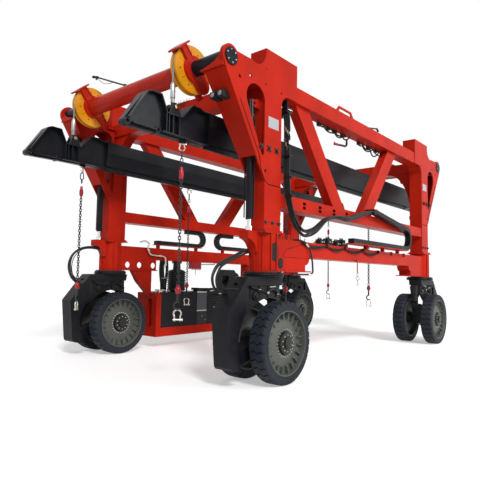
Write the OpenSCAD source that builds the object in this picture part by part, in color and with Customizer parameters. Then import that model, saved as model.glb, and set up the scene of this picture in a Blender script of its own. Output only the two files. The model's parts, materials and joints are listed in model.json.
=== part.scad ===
// Straddle carrier for containers: four telescopic legs on steered twin wheels, two lifting beams
// that hang on ropes from two torque shafts, and a power pack low on the left side.
// Millimetres. X points to the right side, Y to the rear, Z up. The origin is on the ground below
// the middle of the machine. Corner pieces are drawn for the rear right corner and mirrored.

/* [Machine] */
// Distance between the front and rear steering centres
wheelbase = 5692; // [5200:2:6400]
// Distance between the left and right leg centre planes
track = 3450; // [3300:2:3800]

/* [Wheels] */
// Tyre diameter
tyre_d = 1050; // [980:2:1060]
// Tyre width
tyre_w = 230; // [180:2:260]
// Number of grooves across a tyre
groove_n = 22; // [16:1:28]
// Depth of the grooves
groove_depth = 26; // [16:1:30]
// Free space between the two tyres of a pair
tyre_gap = 374; // [350:2:420]
// Diameter of the tyre's seat on the rim
rim_d = 820; // [700:2:860]
// Diameter of the axle
axle_d = 90; // [60:2:110]
// Diameter of the hub cap
hub_cap_d = 300; // [260:2:310]

/* [Steering forks] */
// Width of the fork box
fork_w = 270; // [220:2:280]
// Diameter of the slewing ring under the housing
slew_d = 540; // [460:2:560]
// Height of the slewing ring and its plate
slew_h = 60; // [40:1:80]
// Reach of the fork in front of its steering axis
fork_reach = 834; // [810:2:880]
// Height of the fork's lowest edge above the ground
fork_low = 225; // [180:1:280]

/* [Lower frame] */
// Height of the bottom of the steering housings
housing_low = 1415; // [1380:1:1450]
// Height of the steering housings
housing_h = 513; // [480:1:540]
// Diameter of the round steering housing
housing_d = 360; // [320:2:380]
// Number of ribs round half of a housing
rib_n = 7; // [3:1:11]
// Thickness of the housing's top flange
flange_t = 22; // [12:1:30]
// Width of the lower beam across the machine
low_beam_w = 250; // [200:2:260]
// Height of the lower beam
low_beam_h = 228; // [180:1:260]
// Height of the lower beam's underside
low_beam_z = 1644; // [1600:1:1680]
// Distance from the middle of the machine to the deep ends of the lower beam
deep_y = 1900; // [1700:5:2050]
// Wall of the lower beams
low_wall = 12; // [8:1:20]

/* [Legs] */
// Width of a leg across the machine
leg_w = 268; // [240:2:300]
// Depth of the leg column along the machine
column_d = 360; // [320:2:380]
// Thickness of the leg plates
leg_plate = 20; // [12:1:25]
// Height of the leg tower's top
tower_top = 4400; // [4300:5:4500]
// Depth of the tower's head along the machine
tower_d = 735; // [650:5:800]
// Clearance between the inner mast and the leg round it
mast_gap = 7; // [5:0.5:12]
// Length of the inner mast above the housing flange
mast_l = 1650; // [1500:10:1680]
// Height where the arm leaves the column
arm_kink_z = 2614; // [2500:2:2700]
// Widening of the arm towards the middle of the machine at its top
arm_splay = 90; // [40:5:120]
// Height where the arm's front plate ends
arm_cover_z = 2915; // [2900:5:3000]
// Vertical play between the leg and the housing flange
rest_gap = 0.3; // [0.2:0.1:1]

/* [Side frames] */
// Width of the upper side beams across the machine
side_beam_w = 246; // [200:2:260]
// Height of the underside of the top beam
top_beam_z = 3870; // [3820:2:3900]
// Height of the top beam
top_beam_h = 230; // [180:2:260]
// Height of the underside of the middle beam
mid_beam_z = 2300; // [2250:2:2350]
// Height of the middle beam
mid_beam_h = 190; // [150:2:220]
// Wall of the upper side beams
side_wall = 10; // [6:1:16]
// Width of the diagonals across the machine
diagonal_w = 150; // [120:2:180]
// Length of a diagonal's foot on the beams
diagonal_foot = 370; // [300:5:420]

/* [Cross beams] */
// Depth of the cross beams along the machine
cross_d = 220; // [160:2:240]
// Height of the underside of the cross beams
cross_z = 3780; // [3740:2:3800]
// Height of the cross beams
cross_h = 220; // [180:2:240]
// Length of the curved part of the haunch between a cross beam and a leg
haunch_l = 520; // [400:10:560]
// Width of the haunch at its lower end
haunch_foot = 40; // [20:5:60]
// Height where the haunch starts on the leg
haunch_z = 2810; // [2700:10:2900]

/* [Hoist] */
// Distance of the hoist shafts from the steering axes along the machine
hoist_out = 874; // [860:1:900]
// Height of the hoist shafts
hoist_z = 4030; // [4000:1:4060]
// Diameter of the torque tube
torque_d = 260; // [220:2:280]
// Diameter of the stub shafts in the leg bearings
stub_d = 200; // [160:2:210]
// Diameter of the hoist discs
disc_d = 630; // [620:2:650]
// Diameter of the bottom of the rope groove
groove_d = 570; // [540:2:600]
// Width of a hoist disc
disc_w = 96; // [80:2:120]
// Distance between the left and right ropes
rope_span = 2310; // [2280:2:2340]
// Diameter of the hoist ropes
rope_d = 28; // [20:1:34]
// Angle of the rope clamp above the point where the rope leaves the disc
clamp_deg = 49; // [44:1:60]
// Radius of the bearing lobe round the stub shaft
lobe_r = 152; // [146:1:158]

/* [Lifting beams] */
// Distance from the steering axis to the tip of a lifting beam
beam_tip = 1932; // [1900:2:1960]
// Height of the lifting beam's underside
beam_z = 3045; // [3035:1:3060]
// Height of the lifting beam
beam_h = 470; // [440:2:500]
// Width of the lifting beam
beam_w = 200; // [160:2:220]
// Thickness of the keel plate that carries the chains
keel_t = 40; // [25:1:50]
// Height of the rope pins above the lifting beam's underside
pin_up = 405; // [398:1:420]
// Diameter of the rope pins
pin_d = 50; // [40:1:60]
// Height of the rope socket's top above its pin
socket_top = 300; // [240:5:320]
// Diameter of the eye bore in the tip of a lifting beam
tip_bore_d = 44; // [36:1:50]
// Lengths of the chains below the keel
chain_l = 2255; // [2000:5:2400]
// Distance between the steering axis and the end chains
chain_out = 990; // [960:5:1040]
// Distance of the inner chains from the middle of the machine
chain_in = 1500; // [1300:10:1700]

/* [Lift cylinders] */
// Diameter of the lift cylinder barrels
barrel_d = 96; // [80:1:104]
// Diameter of the lift cylinder rods
rod_d = 56; // [40:1:64]
// Diameter of the pin that holds a barrel in its leg
lift_pin_d = 44; // [36:1:50]
// Height of the barrels' lower ends
barrel_z = 2100; // [2060:5:2200]
// Length of the barrels
barrel_l = 1480; // [1400:5:1500]
// Radial clearance of rods, axles and pins
running = 0.05; // [0.02:0.01:0.1]

/* [Power pack] */
// Distance of the tray's inner side from the middle of the machine
tray_x = 1400; // [1380:5:1410]
// Width of the tray
tray_w = 570; // [550:5:590]
// Place of the tray's front end along the machine, measured forward from the middle
tray_front = 2030; // [1990:5:2050]
// Length of the tray
tray_l = 3000; // [2800:10:3200]
// Height of the tray's underside
tray_z = 205; // [180:5:240]
// Height of the tray's rails
tray_rail = 165; // [120:5:200]
// Height of the end posts above the tray's underside
post_h = 820; // [800:5:850]
// Thickness of the end posts
post_t = 115; // [90:5:120]
// Length of the fuel tank
tank_l = 950; // [700:10:1000]
// Height of the fuel tank and the cooler
tank_h = 810; // [700:10:820]
// Length of the cooler
cooler_l = 280; // [200:10:320]
// Length of the engine
engine_l = 1250; // [900:10:1350]

/* [Energy chains] */
// Height of an energy chain's links
link_h = 76; // [60:1:84]
// Width of the energy chains
energy_w = 115; // [90:1:120]
// Radius of the right energy chain's bend
energy_r = 230; // [215:1:240]
// Height that the right energy chain's upper run gains from the bend to its held end
energy_rise = 177; // [150:1:190]

/* [Hidden] */
$fn = 48;

// Columns: name, side (-1 left, 1 right), end (-1 front, 1 rear)
CORNERS = [["front_left", -1, -1], ["front_right", 1, -1], ["rear_right", 1, 1], ["rear_left", -1, 1]];
SIDES = [["left", -1], ["right", 1]];
ENDS = [["front", -1], ["rear", 1]];

red = [0.80, 0.11, 0.06];
dark = [0.07, 0.07, 0.08];
yellow = [0.95, 0.62, 0.05];
grey = [0.36, 0.38, 0.38];
steel = [0.78, 0.78, 0.78];
rubber = [0.09, 0.10, 0.12];

// Main planes
wheel_y = wheelbase / 2;
leg_x = track / 2;
leg_in_x = leg_x - leg_w / 2;
leg_out_x = leg_x + leg_w / 2;
axle_z = tyre_d / 2;
flange_z = housing_low + housing_h;
leg_low = flange_z + flange_t + rest_gap;
column_out = wheel_y + column_d / 2 - 11;
column_in = column_out - column_d;
tower_in = column_out - tower_d;
arm_tip_y = wheel_y + hoist_out + 92;
arm_tip_z = hoist_z - 146;
eye_z = barrel_z + barrel_l + 60;
arm_top_z = hoist_z - stub_d / 2 - 20;
arm_slope = (arm_tip_y - column_out) / (arm_tip_z - arm_kink_z);
hoist_y = wheel_y + hoist_out;
rope_r = groove_d / 2 + rope_d / 2 + 1;
rope_y = hoist_y + rope_r;
rope_x = rope_span / 2;
pin_z = beam_z + pin_up;
cyl_x = leg_x - 25;
cyl_y = wheel_y + 279;
// Heights on which the right and left energy chains lie, and the thickness of their trays
right_lay_z = low_beam_z + low_beam_h + 68;
left_lay_z = low_beam_z + low_beam_h + 82;
tray_t = 12;
// Length of the level piece at an energy chain's held end
energy_held = 140;

module at_corner(side, end)
    mirror([side < 0 ? 1 : 0, 0, 0]) mirror([0, end < 0 ? 1 : 0, 0]) children();
module at_side(side) mirror([side < 0 ? 1 : 0, 0, 0]) children();
module at_end(end) mirror([0, end < 0 ? 1 : 0, 0]) children();

// A plate drawn in the side view (y, z), from x0 to x0 + w
module side_plate(x0, w) translate([x0, 0, 0]) rotate([90, 0, 90]) linear_extrude(w) children();
// A plate drawn in the end view (x, z), from y0 to y0 + w
module end_plate(y0, w) translate([0, y0 + w, 0]) rotate([90, 0, 0]) linear_extrude(w) children();
// A plate drawn in plan (x, y), from z0 to z0 + h
module flat_plate(z0, h) translate([0, 0, z0]) linear_extrude(h) children();
// A box between two corners
module block(a, b) translate(a) cube(b - a);
// A bar along X, centred on (y, z)
module bar_x(x0, x1, y, z, d) translate([x0, y, z]) rotate([0, 90, 0]) cylinder(d = d, h = x1 - x0);

// Lower frame

// Side view of the deep box that joins a housing to the lower beam
module deep_box_side() {
    end_r = 110;
    difference() {
        translate([deep_y, housing_low + 20])
            square([wheel_y - deep_y, low_beam_z + low_beam_h - housing_low - 20]);
        translate([deep_y - 1, housing_low + 19]) square([end_r + 1, low_beam_z - housing_low - 19 - end_r]);
        difference() {
            translate([deep_y - 1, low_beam_z - end_r - 1]) square([end_r + 1, end_r + 1]);
            translate([deep_y + end_r, low_beam_z]) circle(r = end_r);
        }
    }
}

// The bracket in front of a housing that carries the lift cylinder's rod
module corbel() {
    corbel_l = 235;
    side_plate(cyl_x - 75, 150) difference() {
        translate([wheel_y + 150, flange_z - 260]) square([corbel_l, 260 + flange_t]);
        translate([wheel_y + 150 + corbel_l + 20, flange_z - 285]) circle(r = 205);
    }
}

module mast() {
    mast_w = leg_w - 2 * leg_plate - 2 * mast_gap;
    mast_d = column_d - 2 * leg_plate - 2 * mast_gap;
    mast_wall = 14;
    translate([leg_x - mast_w / 2, column_in + leg_plate + mast_gap, flange_z + flange_t - 1])
        difference() {
            cube([mast_w, mast_d, mast_l + 1]);
            translate([mast_wall, mast_wall, 20])
                cube([mast_w - 2 * mast_wall, mast_d - 2 * mast_wall, mast_l]);
        }
}

// Bottom flange of the deep box and of the gusset
module bottom_flange(w)
    flat_plate(housing_low + 19, 17) translate([leg_x - low_beam_w / 2 - 20, deep_y - 20])
        square([w, wheel_y - deep_y]);

// Under the left lower beam: a gusset plate with round holes
module gusset() {
    hole_d = 110;
    side_plate(leg_x - low_beam_w / 2, low_beam_w)
        translate([deep_y, low_beam_z]) square([wheel_y - deep_y, low_beam_h]);
    side_plate(leg_x - low_beam_w / 2, 20) difference() {
        translate([deep_y, housing_low + 30]) square([wheel_y - deep_y, low_beam_z - housing_low - 29]);
        for (y = [75, 400, 665]) translate([deep_y + y, housing_low + 120]) circle(d = hole_d);
    }
}

// Oval recess in the side of a housing that faces the middle of the machine
module housing_recess()
    rotate([0, 0, 208]) side_plate(housing_d / 2 - 13, 30) translate([0, housing_low + 257]) {
        for (z = [-45, 45]) translate([0, z]) circle(r = 50);
        translate([-50, -45]) square([100, 90]);
    }

module housing(side) color(red) {
    translate([leg_x, wheel_y, 0]) {
        difference() {
            flat_plate(housing_low, housing_h) circle(d = housing_d);
            housing_recess();
        }
        flat_plate(housing_low, 24) circle(d = housing_d + 44);
        for (i = [0 : rib_n - 1])
            rotate([0, 0, -15 + 210 * i / (rib_n - 1)])
                block([housing_d / 2 - 10, -7, housing_low], [housing_d / 2 + 20, 7, flange_z]);
    }
    if (side > 0) side_plate(leg_x - low_beam_w / 2, low_beam_w) deep_box_side();
    else gusset();
    bottom_flange(side > 0 ? low_beam_w + 40 : low_beam_w);
    flat_plate(flange_z, flange_t) translate([leg_x - leg_w / 2 - 50, column_in - 30])
        square([leg_w + 100, column_d + 60]);
    corbel();
    mast();
}

module lower_beam(side) color(red) {
    top = low_beam_z + low_beam_h;
    difference() {
        translate([leg_x - low_beam_w / 2, -deep_y, low_beam_z]) cube([low_beam_w, 2 * deep_y, low_beam_h]);
        translate([leg_x - low_beam_w / 2 + low_wall, -deep_y - 1, low_beam_z + low_wall])
            cube([low_beam_w - 2 * low_wall, 2 * deep_y + 2, low_beam_h - 2 * low_wall]);
    }
    // trays of the energy chains, on feet
    if (side > 0) {
        flat_plate(right_lay_z - tray_t, tray_t) translate([leg_x + 40, -770]) square([energy_w + 112, 2320]);
        for (y = [-740, 0, 700, 1400])
            block([leg_x + 50, y, top], [leg_x + 110, y + 50, right_lay_z - tray_t + 1]);
    } else for (y = [-1850, 30]) {
        flat_plate(left_lay_z - tray_t, tray_t)
            translate([leg_x - energy_w / 2 - 10, y]) square([energy_w + 20, 1250]);
        for (f = [60, 1100])
            block([leg_x - 30, y + f, top], [leg_x + 30, y + f + 50, left_lay_z - tray_t + 1]);
    }
}

// Lift cylinders: rods on the housings, barrels in the arms

module lift_rods() color(steel)
    for (c = CORNERS) at_corner(c[1], c[2]) {
        rod_low = flange_z + flange_t;
        translate([cyl_x, cyl_y, rod_low]) cylinder(d = rod_d + 34, h = 60);
        translate([cyl_x, cyl_y, rod_low]) cylinder(d = rod_d, h = barrel_z + barrel_l - 60 - rod_low);
    }

module lift_barrels() color(dark)
    for (c = CORNERS) at_corner(c[1], c[2]) {
        difference() {
            translate([cyl_x, cyl_y, barrel_z]) cylinder(d = barrel_d, h = barrel_l);
            translate([cyl_x, cyl_y, barrel_z - 1])
                cylinder(d = rod_d + 2 * running, h = barrel_l - 49);
        }
        translate([cyl_x, cyl_y, barrel_z + barrel_l - 1]) cylinder(d = 54, h = eye_z - barrel_z - barrel_l);
        bar_x(cyl_x - 30, cyl_x + 30, cyl_y, eye_z, 90);
        bar_x(cyl_x - 62, cyl_x + 62, cyl_y, eye_z, lift_pin_d);
    }

// Legs

// Window in the arm: an oval head that narrows downward to a point
module arm_window() {
    head_r = 192;
    head_y = column_out + head_r + 14;
    head_z = 3650;
    translate([head_y, head_z]) circle(r = head_r);
    polygon([
        [head_y - head_r, head_z], [head_y - head_r + 5, 2960], [head_y - head_r + 35, 2930],
        [head_y - head_r + 65, 2960], [head_y + 0.93 * head_r, head_z - 72]]);
}

// Side view of a leg; with_lobe adds the bearing lobe of the outer plate
module leg_side(with_lobe) {
    arch_r = 170;
    saddle_r = 210;
    arm_top = with_lobe ? hoist_z + 105 : arm_top_z;
    difference() {
        union() {
            translate([column_in, leg_low]) square([column_d, tower_top - leg_low]);
            translate([tower_in, top_beam_z]) square([tower_d, tower_top - top_beam_z]);
            translate([column_in - arch_r, top_beam_z - arch_r]) square([arch_r + 1, arch_r + 1]);
            translate([column_out - 1, arm_kink_z]) square([saddle_r + 1, hoist_z + 300 - arm_kink_z]);
            polygon([
                [column_out, arm_kink_z], [arm_tip_y, arm_tip_z],
                [with_lobe ? hoist_y + lobe_r : arm_tip_y, with_lobe ? hoist_z : arm_top],
                [with_lobe ? hoist_y : arm_tip_y, arm_top], [column_out, arm_top]]);
            if (with_lobe) translate([hoist_y, hoist_z]) circle(r = lobe_r);
        }
        translate([column_in - arch_r, top_beam_z - arch_r]) circle(r = arch_r);
        translate([column_out + saddle_r, hoist_z + 300]) circle(r = saddle_r);
        // what stands in front of the slanting front edge below the arm
        polygon([
            [column_out, arm_kink_z - 1], [column_out, arm_kink_z],
            [arm_tip_y, arm_tip_z], [arm_tip_y, arm_kink_z - 1]]);
        arm_window();
        if (with_lobe) {
            translate([hoist_y, hoist_z]) circle(d = stub_d + 2 * running);
            translate([wheel_y + 702, arm_top_z - 72]) rotate([0, 0, 90]) circle(r = 36, $fn = 3);
            translate([wheel_y + 490, arm_top_z + 5]) square(44, center = true);
        }
    }
}

// Side view of the plate that closes the front of the arm
module arm_front_side() {
    low_y = column_out + arm_slope * (arm_cover_z - arm_kink_z);
    across = leg_plate * sqrt(1 + arm_slope * arm_slope);
    polygon([
        [low_y, arm_cover_z], [arm_tip_y, arm_tip_z],
        [arm_tip_y - across, arm_tip_z], [low_y - across, arm_cover_z]]);
}

// Inner side of the arm, which widens towards the middle of the machine
module arm_inner_plate()
    intersection() {
        side_plate(leg_in_x - arm_splay - 5, arm_splay + leg_plate + 5) difference() {
            leg_side(false);
            translate([tower_in - 10, leg_low - 10]) square([column_out - tower_in + 10, tower_top]);
        }
        end_plate(column_out - 10, 1200) polygon([
            [leg_in_x, arm_kink_z - 10], [leg_in_x - arm_splay, arm_top_z],
            [leg_in_x - arm_splay, arm_top_z + 10], [leg_in_x - arm_splay + leg_plate, arm_top_z + 10],
            [leg_in_x - arm_splay + leg_plate, arm_top_z], [leg_in_x + leg_plate, arm_kink_z - 10]]);
    }

// Plate that joins the widened inner side of the arm to the column
module arm_back_plate()
    end_plate(column_out - 1, 7) polygon([
        [leg_in_x, arm_kink_z], [leg_in_x - arm_splay, arm_top_z],
        [leg_in_x + leg_plate, arm_top_z], [leg_in_x + leg_plate, arm_kink_z]]);

module arm_front_plate()
    intersection() {
        side_plate(leg_in_x - arm_splay, leg_w + arm_splay) arm_front_side();
        end_plate(column_out - 30, 1200) polygon([
            [leg_in_x, arm_kink_z], [leg_in_x - arm_splay, arm_top_z],
            [leg_out_x, arm_top_z], [leg_out_x, arm_kink_z]]);
    }

module leg() color(red) {
    // outer plate with the bearing lobe
    side_plate(leg_out_x - leg_plate, leg_plate) leg_side(true);
    // inner plate of the column and tower
    side_plate(leg_in_x, leg_plate) intersection() {
        leg_side(false);
        translate([tower_in - 10, leg_low - 10]) square([column_out - tower_in + 10, tower_top]);
    }
    arm_inner_plate();
    arm_back_plate();
    arm_front_plate();
    difference() {
        side_plate(leg_in_x, leg_w) intersection() {
            leg_side(false);
            translate([tower_in - 10, leg_low - 10]) square([column_out - tower_in + 10, tower_top]);
        }
        // space for the mast
        block([leg_in_x + leg_plate, column_in + leg_plate, leg_low - 1],
            [leg_out_x - leg_plate, column_out - leg_plate, leg_low + mast_l + 30]);
        // hollow head
        block([leg_in_x + leg_plate, tower_in + leg_plate, top_beam_z + leg_plate],
            [leg_out_x - leg_plate, column_out - leg_plate, tower_top - leg_plate]);
    }
    // lower collar
    difference() {
        block([leg_in_x - 20, column_in - 20, leg_low], [leg_out_x + 20, column_out + 20, leg_low + 24]);
        block([leg_in_x + leg_plate, column_in + leg_plate, leg_low - 1],
            [leg_out_x - leg_plate, column_out - leg_plate, leg_low + 25]);
    }
    // bracket of the lift cylinder's pin, on the front of the column
    for (x = [cyl_x - 55, cyl_x + 33]) side_plate(x, 22) difference() {
        union() {
            translate([cyl_y, eye_z]) circle(r = 48);
            polygon([[column_out - 1, eye_z - 52], [cyl_y, eye_z - 48], [cyl_y, eye_z + 48],
                [column_out - 1, eye_z + 90]]);
        }
        translate([cyl_y, eye_z]) circle(d = lift_pin_d + 2 * running);
    }
    // top plate of the arm and the plate between it and the bearing
    flat_plate(arm_top_z - 20, 20) translate([leg_in_x - arm_splay - 35, column_out - 1])
        square([leg_w + arm_splay + 20, arm_tip_y + 40 - column_out]);
    end_plate(arm_tip_y + 18, 20) polygon([
        [leg_in_x - 106, arm_top_z - 3], [leg_in_x + 109, hoist_z - 66], [leg_in_x + 220, hoist_z + 20],
        [leg_out_x - 17, hoist_z + 50], [leg_out_x - 17, arm_top_z - 3]]);
    // bearing cap
    difference() {
        bar_x(leg_out_x - leg_plate - 30, leg_out_x, hoist_y, hoist_z, 2 * lobe_r);
        bar_x(leg_out_x - leg_plate - 31, leg_out_x + 1, hoist_y, hoist_z, stub_d + 2 * running);
    }
}

// Side frames

module side_tube(y0, y1, z0, h, w, wall)
    difference() {
        translate([leg_x - w / 2, y0, z0]) cube([w, y1 - y0, h]);
        translate([leg_x - w / 2 + wall, y0 - 1, z0 + wall])
            cube([w - 2 * wall, y1 - y0 + 2, h - 2 * wall]);
    }

module top_beam() color(red) {
    lug_y = -760;
    side_tube(-tower_in, tower_in, top_beam_z, top_beam_h, side_beam_w, side_wall);
    side_plate(leg_out_x - 60, 20) difference() {
        polygon([
            [lug_y - 310, top_beam_z + top_beam_h], [lug_y - 210, top_beam_z + top_beam_h + 110],
            [lug_y + 210, top_beam_z + top_beam_h + 110], [lug_y + 310, top_beam_z + top_beam_h]]);
        polygon([
            [lug_y - 240, top_beam_z + top_beam_h - 1], [lug_y - 180, top_beam_z + top_beam_h + 75],
            [lug_y + 180, top_beam_z + top_beam_h + 75], [lug_y + 240, top_beam_z + top_beam_h - 1]]);
    }
}

module middle_beam(side) color(red) {
    difference() {
        side_tube(-column_in, column_in, mid_beam_z, mid_beam_h, side_beam_w, side_wall);
        if (side > 0) for (y = [-2080, -1640, -1215, -800], z = [45, 103])
            block([leg_x + side_beam_w / 2 - side_wall - 1, y, mid_beam_z + z],
                [leg_x + side_beam_w / 2 + 1, y + 80, mid_beam_z + z + 42]);
    }
    // post with a plate from which the fixed end of the energy chain hangs
    if (side > 0) {
        post_x = leg_x + diagonal_w / 2 + 5;
        held_z = right_lay_z + 2 * energy_r + energy_rise + rest_gap;
        block([post_x, 10, mid_beam_z + mid_beam_h - 1], [post_x + 38, 130, held_z + 1]);
        flat_plate(held_z, 12) translate([post_x, 0])
            square([leg_out_x + 12 + energy_w - post_x, energy_held]);
    }
}

// Columns: lowest y at the top beam, lowest y at the middle beam
DIAGONALS = [[40 - tower_in, -1120], [1010, -120]];

module diagonals() color(red)
    for (d = DIAGONALS) {
        low = mid_beam_z + mid_beam_h;
        lean = (d[0] - d[1]) / (top_beam_z - low);
        wall = side_wall * sqrt(1 + lean * lean);
        difference() {
            side_plate(leg_x - diagonal_w / 2, diagonal_w) polygon([
                [d[1], low], [d[1] + diagonal_foot, low],
                [d[0] + diagonal_foot, top_beam_z], [d[0], top_beam_z]]);
            side_plate(leg_x - diagonal_w / 2 + side_wall, diagonal_w - 2 * side_wall) polygon([
                [d[1] + wall - lean, low - 1], [d[1] + diagonal_foot - wall - lean, low - 1],
                [d[0] + diagonal_foot - wall + lean, top_beam_z + 1], [d[0] + wall + lean, top_beam_z + 1]]);
        }
    }

module cross_beam() color(red) {
    in_x = leg_in_x;
    y0 = column_out - leg_plate - cross_d;
    difference() {
        block([-in_x, y0, cross_z], [in_x, y0 + cross_d, cross_z + cross_h]);
        block([-in_x - 1, y0 + side_wall, cross_z + side_wall],
            [in_x + 1, y0 + cross_d - side_wall, cross_z + cross_h - side_wall]);
    }
    for (side = [-1, 1]) at_side(side)
        end_plate(y0 + 20, cross_d - 40) polygon(concat(
            [[in_x, cross_z], [in_x, haunch_z]],
            [for (t = [0 : 6 : 90]) [
                in_x - haunch_foot - haunch_l * (1 - cos(t)), haunch_z + (cross_z - haunch_z) * sin(t)]]));
    // cable tray on top
    block([440 - in_x, y0 + 20, cross_z + cross_h], [in_x - 440, y0 + cross_d - 20, cross_z + cross_h + 40]);
}

module work_lamps() color(dark)
    for (side = [-1, 1], i = [0, 1]) at_corner(side, -1)
        translate([leg_in_x - arm_splay / 2 + 125 * i, 0, 0]) {
            lamp_z = arm_tip_z - 330;
            seat_y = column_out + arm_slope * (lamp_z - arm_kink_z);
            side_plate(0, 90) polygon([
                [seat_y, lamp_z], [seat_y + 150, lamp_z], [seat_y + 150, lamp_z + 80],
                [seat_y + 60, lamp_z + 80], [seat_y + 60, lamp_z + 60 / arm_slope]]);
        }

// Hoist shafts and discs

// One cheek of a rope clamp: a tapering plate from x0 to x0 + w, with its edges raised by rib on one side
module clamp_cheek(x0, w, rib) {
    hub_half = 65;
    rim_half = 55;
    rim = disc_d / 2 + 12;
    side_plate(x0, w) polygon([[-20, -hub_half], [rim, -rim_half], [rim, rim_half], [-20, hub_half]]);
    for (m = [0, 1]) mirror([0, 0, m])
        side_plate(rib > 0 ? x0 + w - 1 : x0 + rib, abs(rib) + 1) polygon([
            [-20, hub_half - 14], [rim - 5, rim_half - 14], [rim - 5, rim_half - 2], [-20, hub_half - 2]]);
}

module hoist_shaft() color(red) {
    cap_t = 14;
    cap_d = 222;
    hub_d = 350;
    cheek_t = 28;
    bar_x(-rope_x + disc_w / 2, rope_x - disc_w / 2, hoist_y, hoist_z, torque_d);
    for (side = [-1, 1]) at_side(side) {
        bar_x(rope_x + disc_w / 2, leg_out_x + 1, hoist_y, hoist_z, stub_d);
        bar_x(leg_out_x + rest_gap, leg_out_x + cap_t, hoist_y, hoist_z, cap_d);
        bar_x(rope_x + disc_w / 2, rope_x + disc_w / 2 + 40, hoist_y, hoist_z, hub_d);
        bar_x(rope_x - disc_w / 2 - 40, rope_x - disc_w / 2, hoist_y, hoist_z, hub_d);
        // rope clamp: cheeks on both faces of the disc, the cap over them, its tooth on the rope
        translate([rope_x, hoist_y, hoist_z]) rotate([clamp_deg, 0, 0]) {
            clamp_cheek(disc_w / 2 + 5, cheek_t, 12);
            clamp_cheek(-disc_w / 2 - 5 - cheek_t, cheek_t, -12);
            block([-disc_w / 2 - 45, disc_d / 2 + 4, -130], [disc_w / 2 + 45, disc_d / 2 + 28, 130]);
            block([-12, rope_r + rope_d / 2, -25], [12, disc_d / 2 + 6, 25]);
            // counterweight lobe opposite the clamp
            side_plate(disc_w / 2 + 5, cheek_t + 4) {
                translate([-228, 0]) circle(r = 120);
                polygon([[-228, -118], [0, -140], [0, 140], [-228, 118]]);
            }
        }
    }
}

module hoist_discs() color(yellow)
    for (side = [-1, 1]) at_side(side)
        translate([rope_x - disc_w / 2, hoist_y, hoist_z]) rotate([0, 90, 0]) difference() {
            cylinder(d = disc_d, h = disc_w, $fn = 96);
            rotate_extrude($fn = 96) translate([groove_d / 2, disc_w / 2]) polygon([
                [0, -rope_d / 2 - 2], [80, -rope_d / 2 - 14], [80, rope_d / 2 + 14], [0, rope_d / 2 + 2]]);
        }

// Ropes in the grooves, from where they leave the discs up to their clamps
module rope_wraps() color(steel)
    for (side = [-1, 1]) at_side(side) translate([rope_x, hoist_y, hoist_z]) rotate([90, 0, 90])
        rotate_extrude(angle = clamp_deg + 8, $fn = 96) translate([rope_r, 0]) circle(d = rope_d, $fn = 24);

// Rope from the disc down to the socket over the lifting beam
module rope_falls() color(steel)
    for (c = CORNERS) at_corner(c[1], c[2])
        translate([rope_x, rope_y, pin_z + socket_top])
            cylinder(d = rope_d, h = hoist_z - pin_z - socket_top);

// Lifting beams

// Cross-section of the lifting beam, x against z above its underside
module beam_section() {
    flange_z0 = 80;
    waist = 290;
    polygon([
        [-keel_t / 2, 0], [keel_t / 2, 0], [keel_t / 2, flange_z0 - 10], [60, flange_z0],
        [beam_w / 2, waist], [beam_w / 2, beam_h], [-beam_w / 2, beam_h], [-beam_w / 2, waist],
        [-60, flange_z0], [-keel_t / 2, flange_z0 - 10]]);
}

// Height of the low part of a lifting beam's end under the rope pin
valley_z = 290;
// Outline of a lifting beam's end, y from the steering axis and z above the underside
BEAM_END = [
    [beam_tip - 292, 465], [beam_tip - 357, 492], [beam_tip - 512, 490], [beam_tip - 607, valley_z],
    [1085, valley_z], [905, 495], [775, 495], [705, beam_h], [600, beam_h]];
// Centres of the tip bore and of the nose bore, y from the steering axis and z above the underside
tip_r = 48;
BORES = [[beam_tip - tip_r, tip_r], [beam_tip - 495, 50]];

// A strip of plate of thickness t below the line from p to q in the side view
module strip(p, q, t) {
    d = (q - p) / norm(q - p);
    n = [d[1], -d[0]] * (q[0] < p[0] ? -1 : 1);
    polygon([p, q, q + t * n, p + t * n]);
}

module beam_end_side()
    difference() {
        union() {
            translate(BORES[0]) circle(r = tip_r);
            polygon(concat([[600, 60], [600, 30], [beam_tip - tip_r, 0], [beam_tip - 8, 70]], BEAM_END));
        }
        for (p = BORES) translate(p) circle(d = tip_bore_d);
    }

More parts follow.
